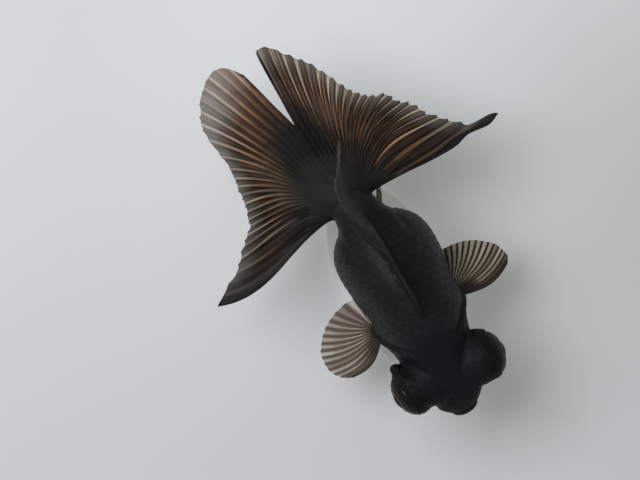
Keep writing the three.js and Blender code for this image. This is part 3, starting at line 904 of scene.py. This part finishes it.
# %% Tail
TAIL_RAYS = 22
TAIL_CROWDING = 0.77
DRAWN_UP = 0.36
FIN_THICK = {"tail": (1.9, 0.5), "dorsal": (1.2, 0.45), "paired": (1.1, 0.4)}


def crowded_tail(side, u, v):
    """The tail's surface with its rays crowded and drawn up at the root."""
    drawn_up = DRAWN_UP * (1 - v) * smooth_step(0.15, 0.85, u) * smooth_step(1, 0.86, u)
    return tail_point(side, u * lerp(TAIL_CROWDING, 1, u) - drawn_up, v)


halves = []
for side in SIDES:
    half, thickest = fin(
        "tail_half_" + side, lambda u, v: crowded_tail(side, u, v), TAIL_RAYS, 60, FIN_THICK["tail"],
        pleat=0.34, notch=0.024, leading=0,
    )
    halves.append(half)
tail = faced_outwards(joined(halves, "tail_fin"), merged_within=0.05)
fins = {"tail_fin": solidified(tail, thickest)}
print("tail:", len(tail.data.polygons), "faces")

# %% [markdown]
# The other fins are one grid each, numbered from the leading ray backwards. The paired fins' first ray is
# stouter, as it is on the fish, since it meets the water. All fins are shaded smooth, and the groups that
# held their thickness are cleared, because no later step needs them.

# %% The other fins
DORSAL_RAYS = 17
FIN_RAYS = {"pectoral": 14, "pelvic": 9, "anal": 8}
made = fin(
    "dorsal_fin_rayed", dorsal_point, DORSAL_RAYS, 44, FIN_THICK["dorsal"], pleat=0.1, notch=0.03, leading=0
)
fins["dorsal_fin_rayed"] = solidified(*made)
for name, shape in PAIRED_FINS.items():
    kind, _, side = name.split("_")
    made = fin(
        name + "_rayed", lambda u, v: fan_point(shape, side, u, v), FIN_RAYS[kind], 36, FIN_THICK["paired"]
    )
    fins[name + "_rayed"] = solidified(*made)
for piece in fins.values():
    smooth_shaded(piece)
    piece.vertex_groups.clear()
print("fins:", {name: len(piece.data.polygons) for name, piece in fins.items()})

# %% [markdown]
# Each eye is a turned form of its own. The globe fills its seat and rises to a dome. The iris is a ring a
# little under the dome's surface, and a wide pupil dips deeper and holds a round lens. Each vertex also keeps
# its place round the eye's axis, so that the finish can draw rings and streaks.

# %% Eyes
GLOBE_RADIUS = (EYE["globe"] ** 2 + EYE["dome"] ** 2) / (2 * EYE["dome"])
GLOBE_CENTRE = EYE["apex"] - GLOBE_RADIUS
PUPIL, IRIS = 3.6, 5.4


def on_globe(radius, under=0.0):
    """(radius, height) of a point on the globe, or this far under its surface."""
    return radius, GLOBE_CENTRE + math.sqrt((GLOBE_RADIUS - under) ** 2 - radius**2)


globe_profile = [(6.9, 15.1), (7.2, 15.5), (7.3, 16.4)]
globe_profile += [on_globe(r, 0.06) for r in (7.2, 7.0, 6.7, 6.3, 6.0, 5.7)]
globe_profile += [on_globe(r, 0.16) for r in (IRIS, 4.9, 4.4, 3.9)]
globe_profile += [on_globe(PUPIL, 0.24), on_globe(3.5, 0.5), on_globe(3.35, 0.55)]
globe_profile += [on_globe(r, 0.1 + 0.04 * r * r) for r in (3.1, 2.8, 2.3, 1.6, 0.9, 0.2)]

eyes = []
for side in SIDES:
    globe = turned("eye_globe_" + side, globe_profile, around=64)
    ring_place = globe.data.attributes.new("ring_place", "FLOAT_VECTOR", "POINT")
    ring_place.data.foreach_set("vector", (vertices(globe) / MM * (1, 1, 0)).astype(np.float32).ravel())
    smooth_shaded(aimed(globe, side))
    eyes.append(globe)
print("globe radius, mm:", round(GLOBE_RADIUS, 2), "pupil and iris:", PUPIL, IRIS)

# %% [markdown]
# The display stand is plain: an oval foot with a rounded edge, and two polished rods. Each rises from a small
# collar on the foot and ends inside the belly. The foot is a turned disc scaled to an oval, and a rod and its
# collar are turned in one.

# %% Stand
FOOT = {"halfX": 20, "halfY": 40, "height": 5, "edge": 1.2}
ROD = {"radius": 1.5, "sunk": 1.5, "in_belly": 1.2, "places": {"front": -14, "rear": 10}}
COLLAR = [(0, -0.01), (1.5, 0), (1.5, 0.9), (1.1, 1.4), (0.3, 1.7), (0, 1.9)]
SHARP = math.radians(40)


def foot_profile():
    """The foot's half outline, with its radius as a share of halfX: softened below, rounded above."""
    edge, across = FOOT["edge"], FOOT["halfX"]
    arc = [math.radians(a) for a in range(0, 91, 15)]
    low = [(1 - (1 - math.sin(a)) * edge / 2 / across, (1 - math.cos(a)) * edge / 2) for a in arc]
    high = [(1 - (1 - math.cos(a)) * edge / across, FOOT["height"] - edge * (1 - math.sin(a))) for a in arc]
    return [(1 - edge / across, 0), *low[1:], *high]


foot = turned("stand_foot_oval", [(r * FOOT["halfX"], z) for r, z in foot_profile()], around=128)
oval = vertices(foot)
oval[:, 1] *= FOOT["halfY"] / FOOT["halfX"]
set_vertices(foot, oval)
bpy.ops.object.shade_smooth_by_angle(angle=SHARP)

rods = []
for name, y in ROD["places"].items():
    top = AXIS_HEIGHT + float(belly(lengthwise(y))) + ROD["in_belly"]
    r, level = ROD["radius"], FOOT["height"]
    profile = [(r, level - ROD["sunk"]), *[(r + wider, level + z) for wider, z in COLLAR]]
    profile += [(r, top - 1.9), (r - 0.02, top)]
    rod = turned("stand_rod_%s_polished" % name, profile, around=48)
    set_vertices(rod, vertices(rod) + np.array([float(sway(lengthwise(y))), y, 0]) * MM)
    bpy.ops.object.shade_smooth_by_angle(angle=SHARP)
    rods.append(rod)
print("rod tops, mm:", [round(1000 * vertices(rod)[:, 2].max(), 1) for rod in rods])

# %% [markdown]
# Finishes are node trees. The class `Finish` keeps them short: it makes a material and sets the numbers that
# are the same all over on the shader itself. Its `add` makes a node with its settings and inputs, `give`
# feeds the shader, and the small functions after them name the few sums that the patterns need.

# %% Finish helpers
def srgb(*colour):
    """A colour as seen on a screen, 0 to 255, in the linear numbers that a shader takes."""
    c = np.array(colour, float) / 255
    return (*np.where(c <= 0.04045, c / 12.92, ((c + 0.055) / 1.055) ** 2.4).tolist(), 1.0)


class Finish:
    """A material's node tree with the shader at its end."""

    def __init__(self, name, **numbers):
        self.material = bpy.data.materials.new(name)
        self.material.use_nodes = True
        self.tree = self.material.node_tree
        self.shader = self.tree.nodes["Principled BSDF"]
        for socket, value in numbers.items():
            self.shader.inputs[socket.replace("_", " ")].default_value = value

    def add(self, kind, inputs=None, **settings):
        """A new node of a kind, with its inputs linked or set and its settings made."""
        node = self.tree.nodes.new("ShaderNode" + kind)
        for key, value in settings.items():
            setattr(node, key, value)
        for key, value in (inputs or {}).items():
            self.join(value, node.inputs[key])
        return node

    def join(self, value, socket):
        if isinstance(value, bpy.types.NodeSocket):
            self.tree.links.new(value, socket)
        else:
            socket.default_value = value

    def give(self, **inputs):
        """Feeds the shader's inputs, named with _ for a space."""
        for name, value in inputs.items():
            self.join(value, self.shader.inputs[name.replace("_", " ")])

    def sum(self, operation, first, second=0.0, third=0.0):
        """A sum of one to three numbers, by the name of the Math node's operation."""
        return self.add("Math", {0: first, 1: second, 2: third}, operation=operation).outputs[0]

    def plus(self, first, *others):
        for other in others:
            first = self.sum("ADD", first, other)
        return first

    def times(self, first, *others):
        for other in others:
            first = self.sum("MULTIPLY", first, other)
        return first

    def away_from(self, value, middle):
        """How far a number is from a middle one, on either side."""
        return self.sum("ABSOLUTE", self.sum("SUBTRACT", value, middle))

    def step(self, value, low, high, start=0.0, end=1.0):
        """start where the value is low, end where it is high, and a soft change between them."""
        inputs = {"Value": value, "From Min": low, "From Max": high, "To Min": start, "To Max": end}
        return self.add("MapRange", inputs, interpolation_type="SMOOTHSTEP").outputs["Result"]

    def measured(self, operation, vector, other=(0.0, 0.0, 0.0)):
        """A number from one or two vectors: LENGTH, DISTANCE or DOT_PRODUCT."""
        return self.add("VectorMath", {0: vector, 1: other}, operation=operation).outputs["Value"]

    def mix(self, share, first, second):
        node = self.add("Mix", data_type="RGBA")
        for index, value in ((0, share), (6, first), (7, second)):
            self.join(value, node.inputs[index])
        return node.outputs[2]

    def spot(self):
        """The place on the model in metres."""
        return self.add("TexCoord").outputs["Object"]

    def places(self):
        """The place on the model, then its x, y and z in millimetres about the fish's axis."""
        spot = self.spot()
        parts = self.add("SeparateXYZ", {0: spot}).outputs
        x, y = (self.times(part, 1000) for part in parts[:2])
        return spot, x, y, self.sum("MULTIPLY_ADD", parts[2], 1000, -AXIS_HEIGHT)

    def noise(self, spot, scale, detail=4.0):
        inputs = {"Vector": spot, "Scale": scale, "Detail": detail, "Roughness": 0.55}
        return self.add("TexNoise", inputs).outputs["Fac"]

    def bumped(self, height, distance, strength, before=None):
        """A normal for relief this many millimetres high, laid over an earlier one if there is one."""
        inputs = {"Height": height, "Distance": distance * MM, "Strength": strength}
        if before is not None:
            inputs["Normal"] = before
        return self.add("Bump", inputs).outputs["Normal"]


print("pale grey in linear numbers:", [round(c, 3) for c in srgb(215, 218, 222)])

# %% [markdown]
# The fish is black, but not one black. The head is bluish, the rear is a warmer black, the root of the tail
# is olive brown and the belly has a breath of bronze. Soft blotches break it up. Skin and scales call the
# same function, so their markings agree. A scale is a little paler along its rim, partly its own colour and
# partly a painted sheen where the rims catch light, which draws the faint net.

# %% Skin and scales
BLACKS = {
    "snout": (22, 26, 25), "head": (17, 22, 23), "barrel": (9, 12, 12), "rear": (16, 16, 16),
    "stem": (39, 39, 34), "web": (34, 34, 30), "belly": (42, 36, 28), "fin_root": (40, 38, 33),
    "blotch": (25, 26, 26), "rim": (42, 42, 40),
}
BLACKS = {part: srgb(*colour) for part, colour in BLACKS.items()}


def fish_colour(made):
    """The place on the fish and its black there, from snout to tail, then by the parts' own shades."""
    spot, x, y, z = made.places()
    aside = made.sum("ABSOLUTE", x)
    blotches = made.noise(spot, 160, 3)
    wander = made.sum("MULTIPLY_ADD", blotches, 16, -8)
    along = made.plus(y, wander)
    head = made.mix(made.step(y, -42, -46.5), BLACKS["head"], BLACKS["snout"])
    far_out = made.times(made.step(aside, 8, 14), made.step(y, -20, -25))
    colour = made.mix(far_out, head, BLACKS["barrel"])
    for low, high, part in ((-20, 2, "rear"), (24, 38, "stem"), (41, 50, "web")):
        colour = made.mix(made.step(along, low, high), colour, BLACKS[part])
    low = made.plus(z, made.times(wander, 0.5))
    colour = made.mix(made.step(low, -8, -22, 0, 0.75), colour, BLACKS["belly"])
    from_root = made.away_from(y, -10.5)
    at_root = made.times(made.step(aside, 15.8, 18), made.step(from_root, 5, 3), made.step(z, -7, -11))
    colour = made.mix(at_root, colour, BLACKS["fin_root"])
    return spot, made.mix(made.step(blotches, 0.5, 0.72, 0, 0.5), colour, BLACKS["blotch"])


made = Finish("black_skin", Specular_IOR_Level=0.1)
spot, colour = fish_colour(made)
pores = made.add("TexVoronoi", {"Vector": spot, "Scale": 1500.0}, feature="SMOOTH_F1").outputs[0]
grain = made.noise(spot, 700, 6)
wrinkled = made.bumped(grain, 0.35, 0.5)
made.give(
    Base_Color=colour, Roughness=made.step(grain, 0.3, 0.7, 0.5, 0.68),
    Normal=made.bumped(pores, 0.12, 0.35, wrinkled),
)
skin.data.materials.append(made.material)

made = Finish("black_scales", Specular_IOR_Level=0.16)
spot, colour = fish_colour(made)
rim = made.add("Attribute", attribute_name="rim").outputs["Fac"]
grain = made.noise(spot, 900, 4)
# The paler rim is partly the scale's own colour and partly a painted sheen where the rims catch light.
made.give(
    Base_Color=made.mix(made.step(rim, 0.5, 0.95, 0, 0.2), colour, BLACKS["rim"]),
    Roughness=made.step(grain, 0.3, 0.7, 0.42, 0.6), Normal=made.bumped(grain, 0.15, 0.4),
)
scales.data.materials.append(made.material)
print("blacks:", ", ".join(BLACKS))

# %% [markdown]
# A fin's pattern follows its rays, so it reads the grid's own map: x is `u`, over the rays, and y is `v`,
# out along them. The fins share one way of drawing, and PLAIN_FIN holds the numbers in which they can differ.
# `FinFinish` first finds how far a place is from its ray, from 0 on it to 0.5 half way to the next one.

# %% What a fin's finish starts from
PLAIN_FIN = {
    "streak": (0.27, 0.42),  # how far from its ray a light streak starts, and is full
    "sides": 0.0,  # how much narrower the streaks get towards u = 1
    "widening": 0.1,  # how much wider they get towards the edge
    "fuller": 0.0,  # how much wider they are on the fish's left
    "duller": 1.0,  # their strength on the fish's right
    "fine": 0.3,  # the strength of the finer streaks in the rays' forks
    "fewer": 1.0,  # the share of those that is left towards u = 1
    "root": (0.1, 0.3),  # where along v the dark root starts to fade, and ends
    "middle": 0.0,  # how much further out it reaches at u = 0
    "middle_to": 0.26,  # up to which u it does so
    "shorter": 0.0,  # how much less far it reaches on the fish's left
    "bands": (),  # each (from, to) of u in which the fin gets dark all along
    "banded": (0.2, 0.36),  # where along v the root's colour turns into the bands' colour
    "sooty": 1.0,  # how much of the bands' colour the middle rays get there
    "margin": (0.85, 1.0),  # where along v the pale margin starts, and is full
    "paler": 0.0,  # how much wider it is at the right rear corner
    "washed": 0.35,  # how far it covers the dark rays too
    "warmer": 0.0,  # how much amber the ground between the rays has in the right upper lobe
}
FORK_LINES = (0.04, 0.1)


class FinFinish(Finish):
    """A fin's finish, with its map, its place on the fish and the patterns that break up its colours."""

    def __init__(self, name, rays, changes):
        super().__init__(name, Roughness=0.55, Specular_IOR_Level=0.15)
        self.how = {**PLAIN_FIN, **changes}
        spot, self.x, self.y, _ = self.places()
        self.u, self.v = self.add("SeparateXYZ", {0: self.add("UVMap", uv_map="rays").outputs[0]}).outputs[:2]
        self.rays_passed = self.times(self.u, rays)
        self.blotches = self.noise(spot, 130, 3)
        self.drift = self.times(self.plus(self.blotches, -0.5), 0.3)
        thread = {0: self.times(self.rays_passed, 7.0), 1: self.times(self.v, 1.5)}
        self.threads = self.noise(self.add("CombineXYZ", thread).outputs[0], 1.0, 1)
        from_ray = self.away_from(self.sum("FRACT", self.plus(self.rays_passed, 0.5)), 0.5)
        self.from_ray = self.sum("SUBTRACT", from_ray, self.step(self.u, 0.45, 0.9, 0, self.how["sides"]))


print("numbers in which fins differ:", len(PLAIN_FIN))

# %% [markdown]
# The rays are dark and solid. Between two of them runs one light streak of tan membrane, and finer ones run
# between a ray's forks. A fish's membrane is never even, so chance gives each streak its own strength, and
# soft blotches and long threads wear them down.

# %% Light streaks
def light_streaks(made):
    """How strong the streaks between rays are, and the finer ones in the rays' forks."""
    how, u, v = made.how, made.u, made.v
    wider = made.step(v, 0.3, 1.0, 0, how["widening"])
    wider = made.plus(made.from_ray, wider, made.step(made.x, -4, 6, 0, how["fuller"]))
    own_ray = {"W": made.sum("FLOOR", made.rays_passed)}
    chance = made.add("TexWhiteNoise", own_ray, noise_dimensions="1D").outputs["Value"]
    duller = made.step(made.x, -8, 1, how["duller"], 1)
    uneven = made.times(made.step(made.blotches, 0.3, 0.6, 0.65, 1), duller)
    streaked = made.times(
        made.step(wider, *how["streak"]), made.step(chance, 0, 1, 0.4, 1),
        made.step(made.threads, 0.3, 0.5, 0.6, 1), uneven,
    )
    in_fork = made.away_from(made.from_ray, made.step(v, *FORKS["first"], 0, 0.25))
    in_fork = made.away_from(in_fork, made.step(v, *FORKS["second"], 0, 0.125))
    fine = made.times(
        made.step(in_fork, *FORK_LINES), how["fine"], made.step(u, 0.35, 0.75, 1, how["fewer"]),
        made.step(made.threads, 0.36, 0.6, 0.3, 1), uneven,
    )
    return streaked, fine


print("rays in the tail:", TAIL_RAYS, "in each half")

# %% [markdown]
# A fin's root is as dark as the body, and so are bands along the edges that carry the stoutest rays. Towards
# its edge the membrane thins out into a pale margin. Both limits wander a little with the blotches, as no
# fish has them drawn with a ruler.

# %% Dark roots and pale margins
def darkness(made):
    """1 where the fin is as dark as the body."""
    how, u = made.how, made.u
    middle = made.step(u, 0.02, how["middle_to"], how["middle"], 0)
    reach = made.sum("SUBTRACT", made.plus(made.v, made.drift), middle)
    reach = made.plus(reach, made.step(made.x, -2, 7, 0, how["shorter"]))
    dark = made.step(reach, *how["root"], 1, 0)
    for low, high in how["bands"]:
        band = made.step(made.plus(u, made.times(made.drift, 0.15)), low, high)
        dark = made.sum("MAXIMUM", dark, band)
    return dark


def margin(made, light):
    """How strong the pale margin is, which spares the dark rays in part."""
    how = made.how
    paler = made.times(made.step(made.x, -4, -27), made.step(made.y, 56, 88, 0, how["paler"]))
    edged = made.step(made.plus(made.v, made.times(made.drift, 0.3), paler), *how["margin"])
    return made.times(edged, made.step(light, 0, 1, how["washed"], 0.85))


print("dark root of a plain fin, as shares of its length:", PLAIN_FIN["root"])

# %% [markdown]
# The colours are laid over each other like paint: the ground between the rays, which is warm in the tail's
# right upper lobe, then fine streaks, broad streaks, the margin and at last the dark root. Light streaks and
# margins are also a little clear, so the floor shows through. Alpha does that more simply than true
# transmission, and without its noise.

# %% Fin finish
def fin_finish(name, rays, colours, clear, **changes):
    """A fin's material: clear says how clear its streaks and margin are, changes what differs from plain."""
    made = FinFinish(name, rays, changes)
    how, u, v = made.how, made.u, made.v
    streaked, fine = light_streaks(made)
    light = made.sum("MAXIMUM", streaked, fine)
    dark = darkness(made)
    edged = margin(made, light)

    amber = colours.get("amber", colours["streak"])
    warmth = made.times(
        made.step(v, 0.35, 0.72), made.step(made.x, -5, -13, 0.12, 1),
        made.step(u, 0.06, 0.32, how["warmer"], 0.02), made.step(made.from_ray, 0.02, 0.24, 0.2, 1),
    )
    colour = made.mix(fine, made.mix(warmth, colours["ray"], amber), amber)
    tan = made.mix(made.step(v, 0.5, 1.05), colours["streak"], colours["pale"])
    colour = made.mix(streaked, colour, tan)
    colour = made.mix(edged, colour, colours["margin"])
    sooty = made.step(made.away_from(u, 0.55), 0.15, 0.3, how["sooty"], 1)
    sooty = made.times(sooty, made.step(v, *how["banded"]))
    colour = made.mix(dark, colour, made.mix(sooty, colours["root"], colours["band"]))

    seen = made.sum("MAXIMUM", made.times(light, clear["streak"]), made.times(edged, clear["margin"]))
    seen = made.times(seen, made.sum("SUBTRACT", 1.0, dark))
    made.give(
        Base_Color=colour, Alpha=made.sum("SUBTRACT", 1.0, seen), Normal=made.bumped(made.threads, 0.1, 0.35)
    )
    return made.material


print("fin finish ready")

# %% [markdown]
# The tail is the showpiece: warm amber streaks on near black, greying towards a clear edge. The back fin is
# almost plain black. The right breast fin is paler than the left one. The small fins below are a browner
# black. FAN holds what the paired fins share.

# %% Fin colours
def tinted(**colours):
    return {part: srgb(*colour) for part, colour in colours.items()}


FIN_COLOURS = {
    "tail": tinted(
        root=(41, 41, 36), band=(18, 18, 17), ray=(25, 19, 16), amber=(130, 88, 59), streak=(176, 128, 86),
        pale=(190, 170, 144), margin=(204, 197, 188),
    ),
    "dorsal": tinted(
        root=(17, 17, 17), band=(18, 19, 19), ray=(34, 33, 30), streak=(86, 82, 71), pale=(90, 86, 76),
        margin=(76, 74, 67),
    ),
    "pectoral_left": tinted(
        root=(50, 46, 38), band=(32, 27, 24), ray=(26, 19, 20), streak=(166, 145, 115), pale=(176, 157, 133),
        margin=(158, 146, 128),
    ),
    "pectoral_right": tinted(
        root=(48, 45, 39), band=(52, 45, 38), ray=(82, 65, 58), streak=(181, 164, 143), pale=(185, 173, 158),
        margin=(173, 166, 156),
    ),
    "pelvic": tinted(
        root=(40, 36, 31), band=(28, 24, 21), ray=(34, 28, 24), streak=(138, 114, 90), pale=(156, 136, 114),
        margin=(146, 134, 120),
    ),
}
FIN_COLOURS["anal"] = FIN_COLOURS["pelvic"]
FAN = {
    "fine": 0.0, "root": (0.1, 0.4), "middle": 0.24, "middle_to": 0.6, "margin": (0.84, 1.14),
    "widening": 0.03, "washed": 0.15,
}
fin_materials = {
    "tail": fin_finish(
        "tail_membrane", TAIL_RAYS, FIN_COLOURS["tail"], {"streak": 0.3, "margin": 0.6},
        streak=(0.38, 0.48), sides=0.035, widening=0.03, fuller=0.06, duller=0.6, fine=0.66, fewer=0.3,
        root=(0.3, 0.74), middle=0.19, middle_to=0.4, shorter=0.2, bands=((0.015, 0.0), (0.93, 1.0)),
        sooty=0.0, margin=(0.8, 1.2), paler=0.22, washed=0.28, warmer=0.46,
    ),
    "dorsal": fin_finish(
        "back_fin_membrane", DORSAL_RAYS, FIN_COLOURS["dorsal"], {"streak": 0.2, "margin": 0.25},
        root=(0.0, 0.3), bands=((0.5, 0.2),),
    ),
    "pectoral_left": fin_finish(
        "left_breast_fin_membrane", FIN_RAYS["pectoral"], FIN_COLOURS["pectoral_left"],
        {"streak": 0.62, "margin": 0.6}, streak=(0.18, 0.32), bands=((0.28, 0.0),), banded=(0.3, 0.5), **FAN,
    ),
    "pectoral_right": fin_finish(
        "right_breast_fin_membrane", FIN_RAYS["pectoral"], FIN_COLOURS["pectoral_right"],
        {"streak": 0.6, "margin": 0.75}, streak=(0.1, 0.44), bands=((0.14, 0.0),), banded=(0.4, 0.6), **FAN,
    ),
}
for kind in ("pelvic", "anal"):
    fin_materials[kind] = fin_finish(
        kind + "_membrane", FIN_RAYS[kind], FIN_COLOURS[kind], {"streak": 0.55, "margin": 0.55},
        streak=(0.12, 0.34), bands=((0.2, 0.0),), **FAN,
    )
for name, piece in fins.items():
    kind = next(kind for kind in fin_materials if all(word in name for word in kind.split("_")))
    piece.data.materials.append(fin_materials[kind])
print("fin finishes:", ", ".join(fin_materials))

# %% [markdown]
# The eye has a black pupil, a thin ring of dull gold with fine dark flecks, and black beyond. Each ring could
# be a band of faces of its own, but drawn from the stored place the rings get soft, uneven edges. A thin
# clear coat makes all of it look wet.

# %% Eye finish
made = Finish("eye_rings", Roughness=0.5, Specular_IOR_Level=0.05, Coat_Weight=0.2, Coat_Roughness=0.1)
ring_place = made.add("Attribute", attribute_name="ring_place").outputs["Vector"]
from_axis = made.measured("LENGTH", ring_place)
way = made.add("VectorMath", {0: ring_place}, operation="NORMALIZE").outputs[0]
streaks = made.noise(way, 14, 4)
flecks = made.noise(ring_place, 2.2, 4)
iris_end = made.plus(from_axis, made.times(streaks, 1.4))
gold = made.mix(made.step(streaks, 0.35, 0.65, 0.1, 0.8), srgb(88, 67, 33), srgb(40, 31, 18))
gold = made.mix(made.step(flecks, 0.45, 0.7, 0, 0.7), gold, srgb(32, 26, 17))
inside = made.mix(made.step(from_axis, PUPIL + 0.02, PUPIL + 0.2), srgb(2, 2, 3), gold)
relief = made.times(streaks, made.step(from_axis, PUPIL, PUPIL + 0.3))
made.give(
    Base_Color=made.mix(made.step(iris_end, 4.75, IRIS), inside, srgb(13, 14, 14)),
    Normal=made.bumped(relief, 0.08, 0.3),
)
for piece in eyes:
    piece.data.materials.append(made.material)
print("iris from", PUPIL, "to", IRIS, "mm")

# %% [markdown]
# The rods are polished steel with faint draw lines. The foot is milky acrylic, satin and with a very fine
# grain. Light spreads inside such plastic and comes out all over. True scattering would be slow to render,
# so a very faint even glow, GLOW, is painted light that stands for it and keeps the foot as bright as the
# glowing floor in the fish's shadow. The foot's rounded rim is painted a little darker, a painted shade that
# dulls the lamp's highlight there.

# %% Stand finishes
GLOW = srgb(250, 252, 252)
made = Finish("polished_steel", Metallic=1.0, Base_Color=srgb(196, 199, 202))
stretched = made.add("Mapping", {0: made.spot()})
stretched.inputs["Scale"].default_value = (1, 1, 12)
drawn = made.noise(stretched.outputs[0], 700, 3)
made.give(Roughness=made.step(drawn, 0.3, 0.7, 0.2, 0.27))
for piece in rods:
    piece.data.materials.append(made.material)

# Painted light: the faint glow lifts the foot out of the fish's shadow, as bright as the glowing floor.
made = Finish("satin_foot", Specular_IOR_Level=0.12, Emission_Strength=0.1, Emission_Color=GLOW)
spot = made.spot()
fine = made.noise(spot, 2600, 3)
tint = made.mix(made.noise(spot, 60, 2), srgb(210, 211, 211), srgb(215, 216, 216))
to_unit = (1000 / FOOT["halfX"], 1000 / FOOT["halfY"], 0.0)
outwards = made.add("VectorMath", {0: spot, 1: to_unit}, operation="MULTIPLY").outputs[0]
# Painted shade: the rounded rim is a little darker, so the lamp's highlight on it shows less.
painted_rim_shade = made.step(made.measured("LENGTH", outwards), 0.93, 0.975)
made.give(
    Base_Color=made.mix(painted_rim_shade, tint, srgb(204, 205, 205)),
    Roughness=made.step(fine, 0.3, 0.7, 0.5, 0.62), Normal=made.bumped(fine, 0.03, 0.3),
)
foot.data.materials.append(made.material)
print("foot, mm:", 2 * FOOT["halfX"], "x", 2 * FOOT["halfY"])

# %% [markdown]
# The CAD nodes that the new pieces replace are hidden, and every piece is attached to the root body. The
# single skin covers every node of flesh.

# %% Hand the pieces over
FLESH = [
    "head", "lower_jaw", "gill_cover_left", "gill_cover_right", "trunk", "tail_stem", "eye_socket_left",
    "eye_socket_right",
]
TAIL_NODES = ["tail_%s_%s" % (lobe, side) for lobe in ("upper", "lower") for side in SIDES]
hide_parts(*FLESH)
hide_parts(*TAIL_NODES)
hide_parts("dorsal_fin")
for name in PAIRED_FINS:
    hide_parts(name)
for side, globe in zip(SIDES, eyes):
    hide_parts("eye_" + side)
for name, rod in zip(ROD["places"], rods):
    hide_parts("stand_rod_" + name)
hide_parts("stand_foot")

slots = {"skin": [skin, scales], "fin": list(fins.values()), "eye": eyes, "steel": rods, "foot": [foot]}
for slot, pieces in slots.items():
    for piece in pieces:
        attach(piece, "root")
print("pieces:", sum(len(pieces) for pieces in slots.values()))

# %% [markdown]
# The floor is a pale, cloudy ground. A deep shadow would look hard under a fish that hangs in clear water, so
# the floor has the foot's faint glow too, painted light that keeps shadows weak. Three soft painted shades
# lie over it, darker ground that stands in for dimmer light: one round painted shadow to the left of the
# head, one that grows ahead of the fish and one that grows to its right. Each row says how a place is
# measured, from which point or along which direction in metres, how strong the shade is between which two
# distances, and its colour.

# %% Floor
FLOOR_PAINTED_SHADES = [
    ("DISTANCE", (0.108, -0.043, 0.0), (0.02, 0.15, 1, 0), (173, 174, 171)),
    ("DOT_PRODUCT", (0.485, 0.875, 0.0), (0.1, -0.08, 0, 0.75), (174, 175, 175)),
    ("DOT_PRODUCT", (0.875, -0.485, 0.0), (-0.05, -0.125, 0, 0.6), (181, 182, 182)),
]
fresh()
bpy.ops.mesh.primitive_plane_add(size=8)
floor = named("floor")
# Painted light: the floor glows faintly, so that shadows on it stay weak.
made = Finish(
    "pale_floor", Roughness=0.7, Specular_IOR_Level=0.2, Emission_Strength=0.14, Emission_Color=GLOW
)
spot = made.spot()
tint = made.mix(made.noise(spot, 5, 2), srgb(199, 199, 200), srgb(203, 203, 203))
# Each row paints shade on the floor: darker ground where the light would be dimmer.
for operation, way, limits, shade in FLOOR_PAINTED_SHADES:
    shaded = made.step(made.measured(operation, spot, way), *limits)
    tint = made.mix(shaded, tint, srgb(*shade))
made.give(Base_Color=tint)
floor.data.materials.append(made.material)
print("shades on the floor:", len(FLOOR_PAINTED_SHADES))

# %% [markdown]
# The room is a pale sky that lights from all round, with one wide lamp above for a soft shadow. The wider a
# lamp is for its distance, the softer its shadow, so a square of a third of a metre was chosen over a sun.

# %% Sky and lamp
world = bpy.data.worlds.new("pale_room")
bpy.context.scene.world = world
world.use_nodes = True
sky = world.node_tree.nodes["Background"].inputs
sky["Color"].default_value = srgb(246, 250, 244)
sky["Strength"].default_value = 0.4

LAMP = {"place": (-0.18, 0.24, 0.6), "aim": (-0.017, 0.027, 0.0), "size": 0.34, "power": 3.1}
to_lamp = Vector(LAMP["place"]) - Vector(LAMP["aim"])
turn = to_lamp.to_track_quat("Z", "Y").to_euler()
bpy.ops.object.light_add(type="AREA", location=LAMP["place"], rotation=turn)
lamp = bpy.context.object
lamp.name = "wide_lamp"
lamp.data.shape = "SQUARE"
lamp.data.size = LAMP["size"]
lamp.data.energy = LAMP["power"]
lamp.data.color = srgb(246, 248, 255)[:3]
lamp.visible_camera = False
print("lamp at, mm:", [round(1000 * c) for c in LAMP["place"]])

# %% [markdown]
# The camera looks straight down from well above the fish, rolled so that the fish lies aslant. Its lens is
# worked out from VIEW: the width that it should see at the fish's level, its distance from there, its roll in
# degrees and the place under the picture's middle.

# %% Camera
VIEW = {"width": 217.6, "distance": 700, "roll": -29, "middle": (-17.0, 26.9)}
bpy.ops.object.camera_add(
    location=(VIEW["middle"][0] * MM, VIEW["middle"][1] * MM, (AXIS_HEIGHT + VIEW["distance"]) * MM),
    rotation=(0, 0, math.radians(VIEW["roll"])),
)
camera = bpy.context.object
camera.name = "camera"
camera.data.sensor_width = 36
camera.data.lens = camera.data.sensor_width * VIEW["distance"] / VIEW["width"]
camera.data.clip_start = 0.01
bpy.context.scene.camera = camera
bpy.context.scene.view_settings.view_transform = "Standard"
print("lens, mm:", round(camera.data.lens, 1))
